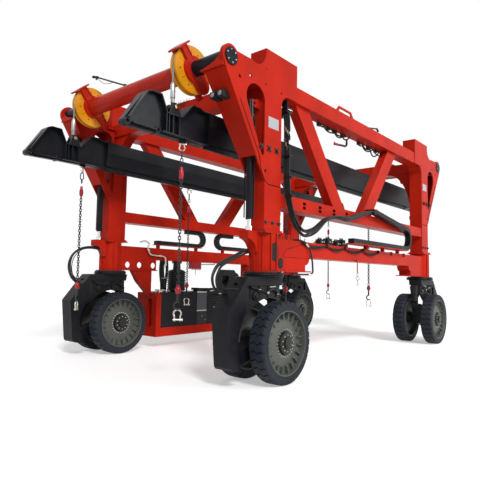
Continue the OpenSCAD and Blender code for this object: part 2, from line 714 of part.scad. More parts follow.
module lift_beam_end() {
    web = 60;
    flange = 16;
    boss_d = 90;
    pin_y = rope_y - wheel_y;
    translate([0, wheel_y, beam_z]) {
        side_plate(rope_x - web / 2, web) beam_end_side();
        // edge flanges along the outline
        side_plate(rope_x - beam_w / 2, beam_w) {
            strip([beam_tip - 40, 86], BEAM_END[0], flange);
            for (i = [0 : len(BEAM_END) - 2]) strip(BEAM_END[i], BEAM_END[i + 1], flange);
            difference() {
                translate([600, 30]) square([beam_tip - 700, flange]);
                translate(BORES[1]) circle(d = boss_d - 2);
            }
            // overlaps of the flanges in the inner corners of the outline
            for (i = [3, 4, 7]) translate(BEAM_END[i] - [flange, flange]) square([2 * flange, flange]);
        }
        // lug of the end chain
        block([rope_x - 14, chain_out - 45, 0], [rope_x + 14, chain_out + 45, 45]);
        // bosses of the two bores
        for (p = BORES) difference() {
            bar_x(rope_x - 60, rope_x + 60, p[0], p[1], boss_d);
            bar_x(rope_x - 61, rope_x + 61, p[0], p[1], tip_bore_d);
        }
        // ribs below the rope pin and under the nose's flange
        for (y = [pin_y - 60, pin_y + 44, 1282])
            block([rope_x - beam_w / 2 + 10, y, 40], [rope_x + beam_w / 2 - 10, y + 16, valley_z - 8]);
        block([rope_x - beam_w / 2 + 2, beam_tip - 602, 40],
            [rope_x + beam_w / 2 - 2, beam_tip - 586, valley_z - 6]);
        // ears and pin of the rope socket
        for (x = [-66, 46]) side_plate(rope_x + x, 20) difference() {
            union() {
                translate([pin_y, pin_up]) circle(r = 50);
                polygon([
                    [pin_y - 100, valley_z - 8], [pin_y + 100, valley_z - 8],
                    [pin_y + 50, pin_up], [pin_y - 50, pin_up]]);
            }
            translate([pin_y, pin_up]) circle(d = pin_d);
        }
        bar_x(rope_x - 78, rope_x + 78, pin_y, pin_up, pin_d);
        bar_x(rope_x - 40, rope_x + 40, pin_y, pin_up, 88);
        translate([rope_x, pin_y, pin_up]) {
            cylinder(r = 22, h = 120);
            translate([0, 0, 120]) cylinder(r = 30, h = socket_top - 120);
        }
    }
}

module lift_beam() color(dark) {
    end_plate(-wheel_y - 600, 2 * wheel_y + 1200) translate([rope_x, beam_z]) beam_section();
    for (end = [-1, 1]) at_end(end) lift_beam_end();
}

// Height of the hub and of the connector above a chain's lower end
hub_z = 330;
hub_h = 90;
connector_z = chain_l - 480;
connector_h = 130;

// Half a ring of wire in the end view with legs that reach up or down (dir) to a pin across them
module bow(r, wire, leg, dir) mirror([0, 0, dir > 0 ? 1 : 0]) {
    rotate([90, 0, 0]) rotate_extrude(angle = 180) translate([r, 0]) circle(r = wire);
    for (x = [-r, r]) translate([x, 0, -leg]) cylinder(r = wire + 1, h = leg + 3);
    bar_x(-r - 22, r + 22, 0, -leg, 2 * wire + 4);
}

// Links between two heights, in turn broad in x and in y
module links(z0, z1) {
    n = round((z1 - z0) / 60);
    pitch = (z1 - z0) / n;
    for (i = [0 : n - 1]) translate([0, 0, z0 + i * pitch])
        block(i % 2 == 0 ? [-23, -7, 0] : [-7, -23, 0], i % 2 == 0 ? [23, 7, pitch + 6] : [7, 23, pitch + 6]);
}

// One lifting chain, from the shackle at its lower end up to the shackle below the keel
module chain() {
    low_bow = 48;
    top_bow = 36;
    top_leg = 62;
    translate([0, 0, 95]) bow(low_bow, 10, 83, -1);
    translate([0, 0, 100 + low_bow]) cylinder(r = 14, h = hub_z - low_bow - 99);
    translate([0, 0, hub_z]) cylinder(r = 34, h = hub_h);
    links(hub_z + hub_h - 2, connector_z + 2);
    translate([0, 0, connector_z]) cylinder(r = 32, h = connector_h);
    links(connector_z + connector_h - 2, chain_l - top_leg - 22 - top_bow);
    translate([0, 0, chain_l - top_leg - 14]) bow(top_bow, 10, top_leg, 1);
    block([-18, -20, chain_l - 16], [18, 20, chain_l]);
}

// Columns: place of a chain along the machine, its turn about the vertical
CHAINS = [[-wheel_y - chain_out, 52], [-chain_in, 125], [chain_in, 55], [wheel_y + chain_out, 128]];

module chains() color(dark)
    for (c = CHAINS) translate([rope_x, c[0], beam_z - chain_l]) rotate([0, 0, c[1]]) chain();

// Wheels and forks

module tyres() color(rubber)
    for (x = [leg_x - tyre_gap / 2 - tyre_w, leg_x + tyre_gap / 2])
        translate([x, wheel_y, axle_z]) rotate([0, 90, 0]) difference() {
            r0 = rim_d / 2;
            r1 = tyre_d / 2;
            rotate_extrude($fn = 96) polygon([
                [r0, 0], [r1 - 45, 0], [r1 - 12, 10], [r1, 34],
                [r1, tyre_w - 34], [r1 - 12, tyre_w - 10], [r1 - 45, tyre_w], [r0, tyre_w]]);
            for (i = [0 : groove_n - 1]) rotate([0, 0, 360 * i / groove_n])
                translate([r1 - groove_depth + 30, 0, tyre_w / 2]) rotate([20, 0, 0])
                    cube([60, 18, tyre_w + 80], center = true);
        }

// A rim with its dish facing up, from the inner face of its tyre at z = 0
module rim() {
    r = rim_d / 2;
    fin_n = 20;
    dish_z = tyre_w - 80;
    rotate_extrude($fn = 96) polygon([
        [axle_d / 2 - 1, -20], [120, -20], [120, 60], [r - 20, 90], [r - 20, 0], [r, 0], [r, tyre_w],
        [r - 14, tyre_w], [r - 24, dish_z + 5], [310, dish_z], [195, tyre_w - 52],
        [hub_cap_d / 2, tyre_w - 52], [hub_cap_d / 2 - 12, tyre_w - 16], [80, tyre_w - 10],
        [axle_d / 2 - 1, tyre_w - 10]]);
    for (i = [0 : fin_n - 1]) rotate([0, 0, 360 * (i + 0.5) / fin_n])
        translate([300, -6, dish_z - 5]) cube([r - 310, 12, 50]);
}

module rims() color(grey) {
    for (m = [0, 1]) translate([leg_x, wheel_y, axle_z]) mirror([m, 0, 0]) translate([tyre_gap / 2, 0, 0])
        rotate([0, 90, 0]) rim();
    bar_x(leg_x - tyre_gap / 2 - tyre_w + 12, leg_x + tyre_gap / 2 + tyre_w - 12, wheel_y, axle_z, axle_d);
}

// Side view of a fork, y measured outward from the steering axis: upper end of its slanting face
// (y, z), and the height of the lower end
FORK_BROW = [480, 1350];
FORK_CHIN_Z = 915;
module fork_side() {
    top_z = housing_low - rest_gap - slew_h;
    arch_r = 640;
    difference() {
        polygon([
            [-250, top_z - 110], [-270, top_z + 1], [330, top_z + 1], [FORK_BROW[0], FORK_BROW[1]],
            [fork_reach, FORK_CHIN_Z], [fork_reach - 59, 300], [fork_reach - 66, 262],
            [fork_reach - 90, fork_low + 8], [fork_reach - 122, fork_low], [560, fork_low - 25],
            [500, fork_low + 60], [500, top_z - 110]]);
        // arch over the wheels
        translate([0, axle_z]) circle(r = arch_r, $fn = 96);
    }
}

// Oval recess in the slanting face of a fork
module fork_recess() {
    down = [FORK_CHIN_Z - FORK_BROW[1], fork_reach - FORK_BROW[0]];
    translate([leg_x, FORK_BROW[0] + 0.21 * down[1], FORK_BROW[1] + 0.21 * down[0]])
        rotate([-atan2(-down[0], down[1]), 0, 0]) translate([0, 0, -30]) linear_extrude(60) {
            for (x = [-18, 18]) translate([x, 0]) circle(r = 20);
            square([36, 40], center = true);
        }
}

// Side view of the swing arm between the tyres
module swing_arm_side() {
    pivot = [644, 328];
    strut = [-190, 790];
    difference() {
        union() {
            translate(pivot) circle(r = 78);
            translate([0, axle_z]) circle(r = 125);
            translate(strut) circle(r = 55);
            polygon([[pivot[0] + 20, pivot[1] - 76], [pivot[0] - 10, pivot[1] + 78], [70, axle_z + 105],
                [-60, axle_z - 110]]);
            polygon([[-115, axle_z + 40], [strut[0] - 55, strut[1]], [strut[0] + 45, strut[1] + 40],
                [80, axle_z + 95]]);
        }
        translate([0, axle_z]) circle(d = axle_d + 2 * running);
    }
}

module fork() color(dark) {
    arm_w = 190;
    top_z = housing_low - rest_gap - slew_h;
    translate([0, wheel_y, 0]) {
        difference() {
            side_plate(leg_x - fork_w / 2, fork_w) fork_side();
            fork_recess();
        }
        side_plate(leg_x - arm_w / 2, arm_w) swing_arm_side();
        translate([leg_x, 0, top_z]) cylinder(d = slew_d, h = slew_h);
        // suspension cylinder
        translate([leg_x, -190, 790]) rotate([-4, 0, 0]) {
            cylinder(d = 62, h = 470);
            translate([0, 0, 200]) cylinder(d = 96, h = 250);
        }
    }
}

// Power pack

// Side view of the front hanger between the gusset's flange and the tray's end post
module hanger_side()
    polygon([
        [tray_front - 25, housing_low + 18.5], [tray_front + 420, housing_low + 18.5],
        [tray_front + 290, 1230], [tray_front + 150, 1095], [tray_front + 20, 960],
        [tray_front - 25, 960]]);

module power_tray() color(red) {
    x0 = -tray_x - tray_w;
    plate = 20;
    y0 = -tray_front;
    y1 = tray_l - tray_front;
    block([x0, y0, tray_z], [-tray_x, y1, tray_z + plate]);
    for (x = [x0, -tray_x - plate]) block([x, y0, tray_z], [x + plate, y1, tray_z + tray_rail]);
    for (y = [y0, y1 - post_t]) end_plate(y, post_t) difference() {
        corner = 45;
        top = tray_z + post_h;
        polygon([
            [x0, tray_z], [-tray_x, tray_z], [-tray_x, top - corner],
            [-tray_x - 0.3 * corner, top - 0.3 * corner], [-tray_x - corner, top], [x0, top]]);
        translate([x0 + 320, tray_z + 195]) square([110, 500]);
    }
    // hangers up to the gusset in front and the lower beam behind
    mirror([1, 0, 0]) mirror([0, 1, 0]) side_plate(leg_x - low_beam_w / 2, 100) hanger_side();
    for (x = [-leg_x - low_beam_w / 2, -leg_x + low_beam_w / 2 - 100])
        block([x, y1 - 60, tray_z + post_h - 50], [x + 100, y1, low_beam_z]);
}

// Front ends of the tank, the cooler and the engine on the tray
tank_y = -tray_front + post_t + 3;
cooler_y = tank_y + tank_l + 20;
engine_y = cooler_y + cooler_l + 20;

module fuel_tank() color(dark)
    block([-tray_x - tray_w + 30, tank_y, tray_z + 20],
        [-tray_x - 22, tank_y + tank_l, tray_z + 20 + tank_h]);

module cooler() color(grey)
    block([-tray_x - tray_w + 60, cooler_y, tray_z + 20],
        [-tray_x - 30, cooler_y + cooler_l, tray_z + 20 + tank_h]);

module engine() color(dark) {
    y0 = engine_y;
    sump_top = 950;
    head_top = 1180;
    cleaner_z = 1330;
    block([-tray_x - tray_w + 60, y0, tray_z + 20], [-tray_x - 60, y0 + engine_l, sump_top]);
    block([-tray_x - tray_w + 120, y0 + 60, sump_top - 1], [-tray_x - 120, y0 + engine_l - 100, head_top]);
    // air cleaner on its stand
    translate([-leg_x, y0 + 100, cleaner_z]) rotate([-90, 0, 0]) cylinder(d = 240, h = 560);
    block([-leg_x - 60, y0 + 180, head_top - 1], [-leg_x + 60, y0 + 560, cleaner_z]);
}

// Energy chains: U shapes drawn in the side view, opening towards smaller y; y is the bend's centre,
// z_low the height on which the lower run lies, rise what the upper run gains up to its held end
module energy_loop(y, z_low, r, rise, upper_l, lower_l) {
    bend_n = 9;
    inner = r - link_h;
    top = z_low + 2 * r + rise;
    lean = atan(rise / (upper_l - energy_held));
    BEND = [for (i = [0 : bend_n]) -90 + (180 - lean) * i / bend_n];
    held_y = y - upper_l + energy_held;
    polygon(concat(
        [[y - lower_l, z_low]],
        [for (a = BEND) [y + r * cos(a), z_low + r + r * sin(a)]],
        [[held_y, top], [y - upper_l, top], [y - upper_l, top - link_h], [held_y, top - link_h]],
        [for (i = [bend_n : -1 : 0]) [y + inner * cos(BEND[i]), z_low + r + inner * sin(BEND[i])]],
        [[y - lower_l, z_low + link_h]]));
}

module energy_chains() color(dark) {
    left_r = (mid_beam_z - rest_gap - left_lay_z) / 2;
    side_plate(leg_out_x + 12, energy_w) energy_loop(1500, right_lay_z, energy_r, energy_rise, 1500, 2260);
    mirror([1, 0, 0]) side_plate(leg_x - energy_w / 2, energy_w) {
        energy_loop(-650, left_lay_z, left_r, 0, 380, 1180);
        mirror([1, 0]) energy_loop(-50, left_lay_z, left_r, 0, 380, 1180);
    }
}

// Hoses: tubes swept along hand-picked points, by a ring of corners at each point

function unit(v) = v / norm(v);
function tangent(p, i) = unit(p[min(i + 1, len(p) - 1)] - p[max(i - 1, 0)]);
function hose_ring(p, i, r, n) =
    let (t = tangent(p, i), a = unit(cross(t, [1, 0, 0])), b = cross(t, a))
    [for (k = [0 : n - 1]) p[i] + r * (cos(360 * k / n) * a + sin(360 * k / n) * b)];

module hose(p, r) {
    n = 8;
    m = len(p);
    polyhedron(
        points = [for (i = [0 : m - 1]) each hose_ring(p, i, r, n)],
        faces = concat(
            [[for (k = [0 : n - 1]) k]],
            [for (i = [0 : m - 2], k = [0 : n - 1])
                [i * n + k, (i + 1) * n + k, (i + 1) * n + (k + 1) % n, i * n + (k + 1) % n]],
            [[for (k = [n - 1 : -1 : 0]) (m - 1) * n + k]]));
}

// Route of the innermost hose: down behind the right front column (x, y from the steering axis, z), then
// along the machine to the energy chain's held end (x, y as a share of wheel_y, z)
HOSE_DOWN = [
    [1700, 416, top_beam_z - 0.3], [1700, 416, 3820], [1700, 380, 3760], [1702, 316, 3700],
    [1706, 266, 3620], [1712, 241, 3500], [1720, 234, 3300], [1732, 234, 3100], [1765, 234, 2900],
    [1815, 234, 2740], [1860, 238, 2620], [1884, 250, 2500], [1886, 276, 2380], [1886, 331, 2265],
    [1886, 421, 2165]];
HOSE_ALONG = [
    [1886, 0.808, 2100], [1886, 0.755, 2070], [1886, 0.696, 2075], [1886, 0.632, 2115],
    [1886, 0.545, 2190], [1886, 0.457, 2262], [1886, 0.351, 2345], [1886, 0.246, 2425],
    [1886, 0.141, 2495], [1886, 0.053, 2534], [1886, 0.0003, 2539]];
HOSE = concat(
    [for (p = HOSE_DOWN) [p[0], p[1] - wheel_y, p[2]]],
    [for (p = HOSE_ALONG) [p[0], -p[1] * wheel_y, p[2]]]);

module hoses() color(dark)
    for (i = [0 : 2]) hose([for (p = HOSE) p + [30 * i, 0, 0]], 13);

for (c = CORNERS) {
    at_corner(c[1], c[2]) housing(c[1]);
    at_corner(c[1], c[2]) leg();
    at_corner(c[1], c[2]) fork();
    at_corner(c[1], c[2]) tyres();
    at_corner(c[1], c[2]) rims();
}
for (s = SIDES) {
    at_side(s[1]) lower_beam(s[1]);
    at_side(s[1]) top_beam();
    at_side(s[1]) middle_beam(s[1]);
    at_side(s[1]) diagonals();
    at_side(s[1]) lift_beam();
    at_side(s[1]) chains();
}
for (e = ENDS) {
    at_end(e[1]) cross_beam();
    at_end(e[1]) hoist_shaft();
    at_end(e[1]) hoist_discs();
    at_end(e[1]) rope_wraps();
}
lift_rods();
lift_barrels();
work_lamps();
hoses();
energy_chains();
rope_falls();
power_tray();
fuel_tank();
cooler();
engine();
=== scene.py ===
"""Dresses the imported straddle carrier: materials, camera and the fine pieces that the CAD leaves plain."""
import json
from math import atan2, copysign, cos, pi, radians, sin, sqrt, tau

import bmesh
import bpy
from mathutils import Matrix, Vector


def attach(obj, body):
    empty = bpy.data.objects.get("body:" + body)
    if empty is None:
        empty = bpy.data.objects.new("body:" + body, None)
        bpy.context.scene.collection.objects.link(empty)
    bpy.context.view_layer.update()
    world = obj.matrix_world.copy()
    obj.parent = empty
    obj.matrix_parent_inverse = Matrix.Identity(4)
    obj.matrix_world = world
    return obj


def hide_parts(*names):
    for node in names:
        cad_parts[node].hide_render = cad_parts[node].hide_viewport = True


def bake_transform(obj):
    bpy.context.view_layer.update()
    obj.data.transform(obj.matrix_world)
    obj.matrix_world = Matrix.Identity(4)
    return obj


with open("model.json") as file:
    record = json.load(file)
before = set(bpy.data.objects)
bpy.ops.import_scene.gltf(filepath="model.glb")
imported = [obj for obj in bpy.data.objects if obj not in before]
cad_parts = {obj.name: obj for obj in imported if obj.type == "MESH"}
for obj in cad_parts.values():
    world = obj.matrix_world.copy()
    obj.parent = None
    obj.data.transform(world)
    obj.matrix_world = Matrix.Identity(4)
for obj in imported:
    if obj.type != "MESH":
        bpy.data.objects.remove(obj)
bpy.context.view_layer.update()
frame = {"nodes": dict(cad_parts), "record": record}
scene = bpy.context.scene

# Main planes of the machine in metres, as in the part's source
WHEEL_Y = 2.846
LEG_X = 1.725
LEG_OUT_X = 1.859
AXLE_Z = 0.525
TYRE_W = 0.23
TYRE_GAP = 0.374
RIM_R = 0.41
COLUMN_OUT = 3.015
COLUMN_IN = 2.655
FLANGE_Z = 1.95
HOUSING_Z = 1.415
HOIST_Y = WHEEL_Y + 0.874
HOIST_Z = 4.03
CLAMP_TURN = radians(49.0)
DISC_R = 0.315
DISC_W = 0.096
STUB_X = 1.262
HUB_R = 0.153
ROPE_X = 1.155
ROPE_R = 0.3
BEAM_Z = 3.045
PIN_Z = BEAM_Z + 0.405
CHAIN_L = 2.255
ARM_SLOPE = 0.6276
SLEW_Z = 1.4146
LIFT_X = 1.7
LOWER_BEAM_TOP = 1.872
LOWER_BEAM_UNDER = 1.6445
LOWER_BEAM_OUT = 1.85
TOP_BEAM_UNDER = 3.868
CORNERS = {"front_left": (-1, -1), "front_right": (1, -1), "rear_right": (1, 1), "rear_left": (-1, 1)}
SIDES = {"left": -1, "right": 1}
ENDS = {"front": -1, "rear": 1}
X = Vector((1.0, 0.0, 0.0))
Y = Vector((0.0, 1.0, 0.0))
UP = Vector((0.0, 0.0, 1.0))

# ---- Camera ----

camera_data = bpy.data.cameras.new("camera")
camera = bpy.data.objects.new("camera", camera_data)
scene.collection.objects.link(camera)
yaw, pitch, roll = (radians(a) for a in (40.4154, 4.3919, 1.0838))
camera.matrix_world = (
    Matrix.Translation((5.68, -7.975, 1.345)) @ Matrix.Rotation(yaw, 4, "Z")
    @ Matrix.Rotation(pi / 2 + pitch, 4, "X") @ Matrix.Rotation(roll, 4, "Z"))
camera_data.sensor_width = 36.0
camera_data.lens = 36.37
camera_data.clip_end = 200.0
scene.camera = camera
scene.view_settings.view_transform = "Standard"
scene.view_settings.look = "None"

# ---- Shader nodes ----


def node_of(tree, kind, **inputs):
    made = tree.nodes.new(kind)
    for key, value in inputs.items():
        made.inputs[key.replace("_", " ")].default_value = value
    return made


def put(tree, source, socket):
    """Links a socket to an input, or sets a plain value on it."""
    if isinstance(source, bpy.types.NodeSocket):
        tree.links.new(source, socket)
    elif isinstance(source, tuple):
        socket.default_value = (*source, 1.0)
    else:
        socket.default_value = source


def mix(tree, factor, a, b):
    made = tree.nodes.new("ShaderNodeMix")
    made.data_type = "RGBA"
    for index, source in ((0, factor), (6, a), (7, b)):
        put(tree, source, made.inputs[index])
    return made.outputs[2]


def math_node(tree, operation, *operands):
    made = tree.nodes.new("ShaderNodeMath")
    made.operation = operation
    for socket, operand in zip(made.inputs, operands):
        put(tree, operand, socket)
    return made.outputs[0]


def ramp(tree, source, low, high, to_low=0.0, to_high=1.0):
    made = node_of(tree, "ShaderNodeMapRange", From_Min=low, From_Max=high, To_Min=to_low, To_Max=to_high)
    put(tree, source, made.inputs["Value"])
    return made.outputs["Result"]


def split(tree, vector):
    """The x, y and z sockets of a vector."""
    made = tree.nodes.new("ShaderNodeSeparateXYZ")
    tree.links.new(vector, made.inputs[0])
    return made.outputs


def seen_directly(tree):
    """A socket that is 1 for camera, glossy and transmission rays and 0 for the light on the object."""
    path = tree.nodes.new("ShaderNodeLightPath")
    total = path.outputs["Is Camera Ray"]
    for name in ("Is Glossy Ray", "Is Transmission Ray"):
        total = math_node(tree, "ADD", total, path.outputs[name])
        total.node.use_clamp = True
    return total


def noise(tree, place, **inputs):
    made = node_of(tree, "ShaderNodeTexNoise", **inputs)
    tree.links.new(place, made.inputs["Vector"])
    return made.outputs["Fac"]


def relief(tree, height, strength, distance):
    """Bumps a finish by a height map."""
    bump = node_of(tree, "ShaderNodeBump", Strength=strength, Distance=distance)
    tree.links.new(height, bump.inputs["Height"])
    tree.links.new(bump.outputs["Normal"], tree.nodes["Principled BSDF"].inputs["Normal"])


# ---- Light ----

world = bpy.data.worlds.new("studio")
scene.world = world
world.use_nodes = True
tree = world.node_tree
sky = tree.nodes["Background"]
sky.inputs["Color"].default_value = (1.0, 1.0, 1.0, 1.0)
# white where it is seen, and weaker as light on the machine
put(tree, ramp(tree, seen_directly(tree), 0.0, 1.0, 0.34, 1.0), sky.inputs["Strength"])


def lamp(name, kind, energy, place, target, size):
    data = bpy.data.lights.new(name, kind)
    data.energy = energy
    if kind == "AREA":
        data.shape = "DISK"
        data.size = size
    else:
        data.angle = size
    obj = bpy.data.objects.new(name, data)
    obj.location = place
    obj.rotation_euler = (Vector(target) - Vector(place)).to_track_quat("-Z", "Y").to_euler()
    scene.collection.objects.link(obj)


lamp("key", "SUN", 2.1, (12.0, -7.0, 12.0), (0.0, 0.0, 1.5), radians(12))
lamp("side", "AREA", 560.0, (13.0, 2.0, 6.0), (0.0, 0.0, 2.0), 7.0)

# ---- Materials ----

SHADE = 0.2
ROUGH_SPREAD = 0.08
COAT_ROUGH = 0.08
BAND_STEP = 0.116
BAND_W = 0.012


def stub_mask(tree, axes):
    """1 on the stub shafts and their end caps of a hoist shaft."""
    return math_node(tree, "GREATER_THAN", math_node(tree, "ABSOLUTE", axes["X"]), STUB_X)


def hub_mask(tree, axes):
    """1 on the hub of a rim."""
    y = math_node(tree, "SUBTRACT", math_node(tree, "ABSOLUTE", axes["Y"]), WHEEL_Y)
    z = math_node(tree, "SUBTRACT", axes["Z"], AXLE_Z)
    square = math_node(tree, "MULTIPLY_ADD", z, z, math_node(tree, "MULTIPLY", y, y))
    return math_node(tree, "LESS_THAN", square, HUB_R ** 2)


def link_gap_shade_mask(tree, axes):
    """1 in narrow bands across the energy chains: painted shade standing for the gaps between their links."""
    return math_node(tree, "LESS_THAN", math_node(tree, "PINGPONG", axes["Y"], BAND_STEP / 2), BAND_W / 2)


def surface(name, color, rough, metallic=0.0, coat=0.0, shade=SHADE, dust=0.0, grain=0.0006, grain_scale=180.0,
            dust_color=(0.3, 0.27, 0.24), mask=None, mask_color=None, streaks=0.0, shine=0.5):
    """A finish with broad colour variation, fine grain in its relief and dust on what faces up. Where mask
    is 1 it has mask_color; streaks darkens thin runs down its sides."""
    material = bpy.data.materials.new(name + "_finish")
    material.use_nodes = True
    tree = material.node_tree
    shader = tree.nodes["Principled BSDF"]
    place = tree.nodes.new("ShaderNodeTexCoord").outputs["Object"]
    broad = noise(tree, place, Scale=1.7, Detail=5.0, Roughness=0.6)
    fine = noise(tree, place, Scale=grain_scale, Detail=2.0)
    speck = noise(tree, place, Scale=9.0, Detail=8.0, Roughness=0.75)
    base = color if mask is None else mix(tree, mask(tree, split(tree, place)), color, mask_color)
    dark = mix(tree, shade, base, (0.0, 0.0, 0.0))
    bright = mix(tree, shade * 0.03, base, (1.0, 1.0, 1.0)) if max(color) < 0.1 else base
    tint = mix(tree, ramp(tree, broad, 0.35, 0.65), dark, bright)
    if streaks > 0.0:
        stretch = tree.nodes.new("ShaderNodeMapping")
        stretch.inputs["Scale"].default_value = (26.0, 26.0, 0.9)
        tree.links.new(place, stretch.inputs["Vector"])
        run = noise(tree, stretch.outputs[0], Scale=1.0, Detail=4.0, Roughness=0.6)
        tint = mix(tree, ramp(tree, run, 0.56, 0.8, 0.0, streaks), tint, (0.05, 0.012, 0.008))
    if dust > 0.0:
        normal = tree.nodes.new("ShaderNodeNewGeometry").outputs["Normal"]
        up = ramp(tree, split(tree, normal)["Z"], 0.4, 1.0, 0.25, 1.0)
        spots = ramp(tree, speck, 0.45, 0.75)
        tint = mix(tree, math_node(tree, "MULTIPLY", math_node(tree, "MULTIPLY", up, spots), dust), tint, dust_color)
    put(tree, tint, shader.inputs["Base Color"])
    put(tree, ramp(tree, speck, 0.3, 0.7, max(0.02, rough - ROUGH_SPREAD), min(1.0, rough + ROUGH_SPREAD)),
        shader.inputs["Roughness"])
    for name, value in (("Metallic", metallic), ("Specular IOR Level", shine), ("Coat Weight", coat),
                        ("Coat Roughness", COAT_ROUGH)):
        shader.inputs[name].default_value = value
    relief(tree, fine, 0.5, grain)
    return material


def rope_surface(name, color, rough):
    """Strands that wind round a rope, in its relief, with painted shade in the grooves between them."""
    material = surface(name, color, rough, metallic=0.7, shade=0.15)
    tree = material.node_tree
    place = tree.nodes.new("ShaderNodeTexCoord").outputs["Object"]
    wave = node_of(tree, "ShaderNodeTexWave", Scale=34.0, Distortion=0.0)
    wave.bands_direction = "DIAGONAL"
    tree.links.new(place, wave.inputs["Vector"])
    relief(tree, wave.outputs["Fac"], 0.8, 0.004)
    colour = tree.nodes["Principled BSDF"].inputs["Base Color"]
    # painted shade: the colour darkens in the grooves between the strands
    strand_shade = ramp(tree, wave.outputs["Fac"], 0.0, 0.4, 0.7, 0.0)
    put(tree, mix(tree, strand_shade, colour.links[0].from_socket, (0.03, 0.03, 0.03)), colour)
    return material


RED = (0.52, 0.018, 0.006)
M = {
    "red": surface("red_paint", RED, 0.34, dust=0.04, shade=0.22, streaks=0.25, shine=0.06),
    "shaft": surface("hoist_paint", RED, 0.3, dust=0.03, shade=0.22, shine=0.12,
                     mask=stub_mask, mask_color=(0.006, 0.008, 0.014)),
    "deep_red": surface("anodised_red", (0.42, 0.01, 0.022), 0.34, metallic=0.3, shade=0.25),
    "black": surface("black_paint", (0.0045, 0.005, 0.008), 0.42, dust=0.05, shade=0.25, shine=0.14),
    # near-black paint; its bluish tint is a painted reflection of the sky
    "beam": surface("beam_paint", (0.0045, 0.0065, 0.01), 0.36, dust=0.02, shade=0.22, grain=0.0002,
                    shine=0.2),
    "grey": surface("rim_paint", (0.098, 0.104, 0.094), 0.45, dust=0.1, shine=0.3,
                    mask=hub_mask, mask_color=(0.012, 0.012, 0.013)),
    "yellow": surface("disc_paint", (0.82, 0.33, 0.008), 0.38, coat=0.03, shade=0.22, shine=0.2),
    "tyre": surface("tyre", (0.012, 0.016, 0.024), 0.7, dust=0.2, shade=0.3, grain=0.0012,
                    grain_scale=260.0, dust_color=(0.06, 0.06, 0.065), shine=0.25),
    "chrome": surface("rod", (0.75, 0.75, 0.75), 0.16, metallic=1.0, shade=0.04, grain=0.0001),
    "chain": surface("chain", (0.03, 0.03, 0.032), 0.45, metallic=0.6, shade=0.3),
    "zinc": surface("zinc", (0.6, 0.59, 0.52), 0.3, metallic=1.0, shade=0.18),
    "brass": surface("brass", (0.5, 0.36, 0.16), 0.35, metallic=1.0),
    "steel": surface("pale_steel", (0.5, 0.51, 0.52), 0.35, metallic=0.85, shade=0.15),
    "rope": rope_surface("rope", (0.3, 0.3, 0.29), 0.42),
    # darker bands across the links: painted shade in the gaps between them
    "plastic": surface("energy_chain", (0.007, 0.007, 0.008), 0.42, shine=0.2,
                       mask=link_gap_shade_mask, mask_color=(0.001, 0.001, 0.001)),
    "rubber": surface("hose", (0.006, 0.006, 0.007), 0.38, shine=0.3),
    "lamp": surface("lamp", (0.008, 0.008, 0.009), 0.5, shine=0.2),
    "lens": surface("lens", (0.22, 0.24, 0.26), 0.15, coat=0.4, shade=0.1, grain=0.0),
    "plate": surface("blank_plate", (0.42, 0.43, 0.47), 0.4, shade=0.1),
    "engine": surface("engine", (0.008, 0.008, 0.009), 0.5, shade=0.3, dust=0.1, shine=0.2),
    "cooler": surface("cooler", (0.045, 0.052, 0.062), 0.45, shade=0.15),
    # near-black for seams, scored lines and holes: painted shade in them
    "painted_shade": surface("painted_shade", (0.004, 0.002, 0.002), 0.8, shade=0.1, shine=0.05),
    "floor": surface("floor", (0.88, 0.88, 0.88), 0.8, shade=0.01, grain=0.0002),
}
SLOT_LOOK = {
    "red_paint": "red", "black_paint": "black", "beam_paint": "beam", "grey_paint": "grey",
    "yellow_paint": "yellow", "tyre": "tyre", "chrome": "chrome", "chain_steel": "chain",
    "rope_steel": "rope", "lamp_housing": "lamp", "hose_rubber": "rubber", "chain_plastic": "plastic",
    "cooler_grey": "cooler", "engine_black": "engine"}
for part in frame["record"]["subparts"]:
    look = M["shaft" if part["node"].startswith("hoist_shaft") else SLOT_LOOK[part["material_slot"]]]
    node = frame["nodes"][part["node"]]
    if not node.material_slots:
        node.data.materials.append(look)
    for slot in node.material_slots:
        slot.material = look

# ---- Drawing ----

# Edges that bend less than SHARP are smooth; in a piece with a bevel those beyond BEVELLED get it
SHARP = radians(35.0)
BEVELLED = radians(40.0)


def spread(axis, along, a, b):
    """A point from its place along an axis and its two other coordinates."""
    return {"x": (along, a, b), "y": (a, along, b), "z": (a, b, along)}[axis]


def circle(n, phase=0.0):
    """Cosine and sine of n even steps round a circle, from a phase in steps."""
    return [(cos(tau * (k + phase) / n), sin(tau * (k + phase) / n)) for k in range(n)]


def round_points(centre, a, b, r, n, phase=0.0):
    """n points on a circle in the plane of two unit vectors."""
    return [centre + r * (a * c + b * s) for c, s in circle(n, phase)]


def at_x(x, *pairs):
    """Points of a plane across the machine's width from their y and z."""
    return [(x, y, z) for y, z in pairs]


def smooth_path(points, steps):
    """Points on a smooth curve through the given ones."""
    p = [Vector(q) for q in points]
    p = [2 * p[0] - p[1]] + p + [2 * p[-1] - p[-2]]
    out = []
    for i in range(1, len(p) - 2):
        for k in range(steps):
            t = k / steps
            out.append(0.5 * (
                2 * p[i] + (p[i + 1] - p[i - 1]) * t
                + (2 * p[i - 1] - 5 * p[i] + 4 * p[i + 1] - p[i + 2]) * t * t
                + (3 * p[i] - p[i - 1] - 3 * p[i + 1] + p[i + 2]) * t ** 3))
    out.append(p[-2])
    return out


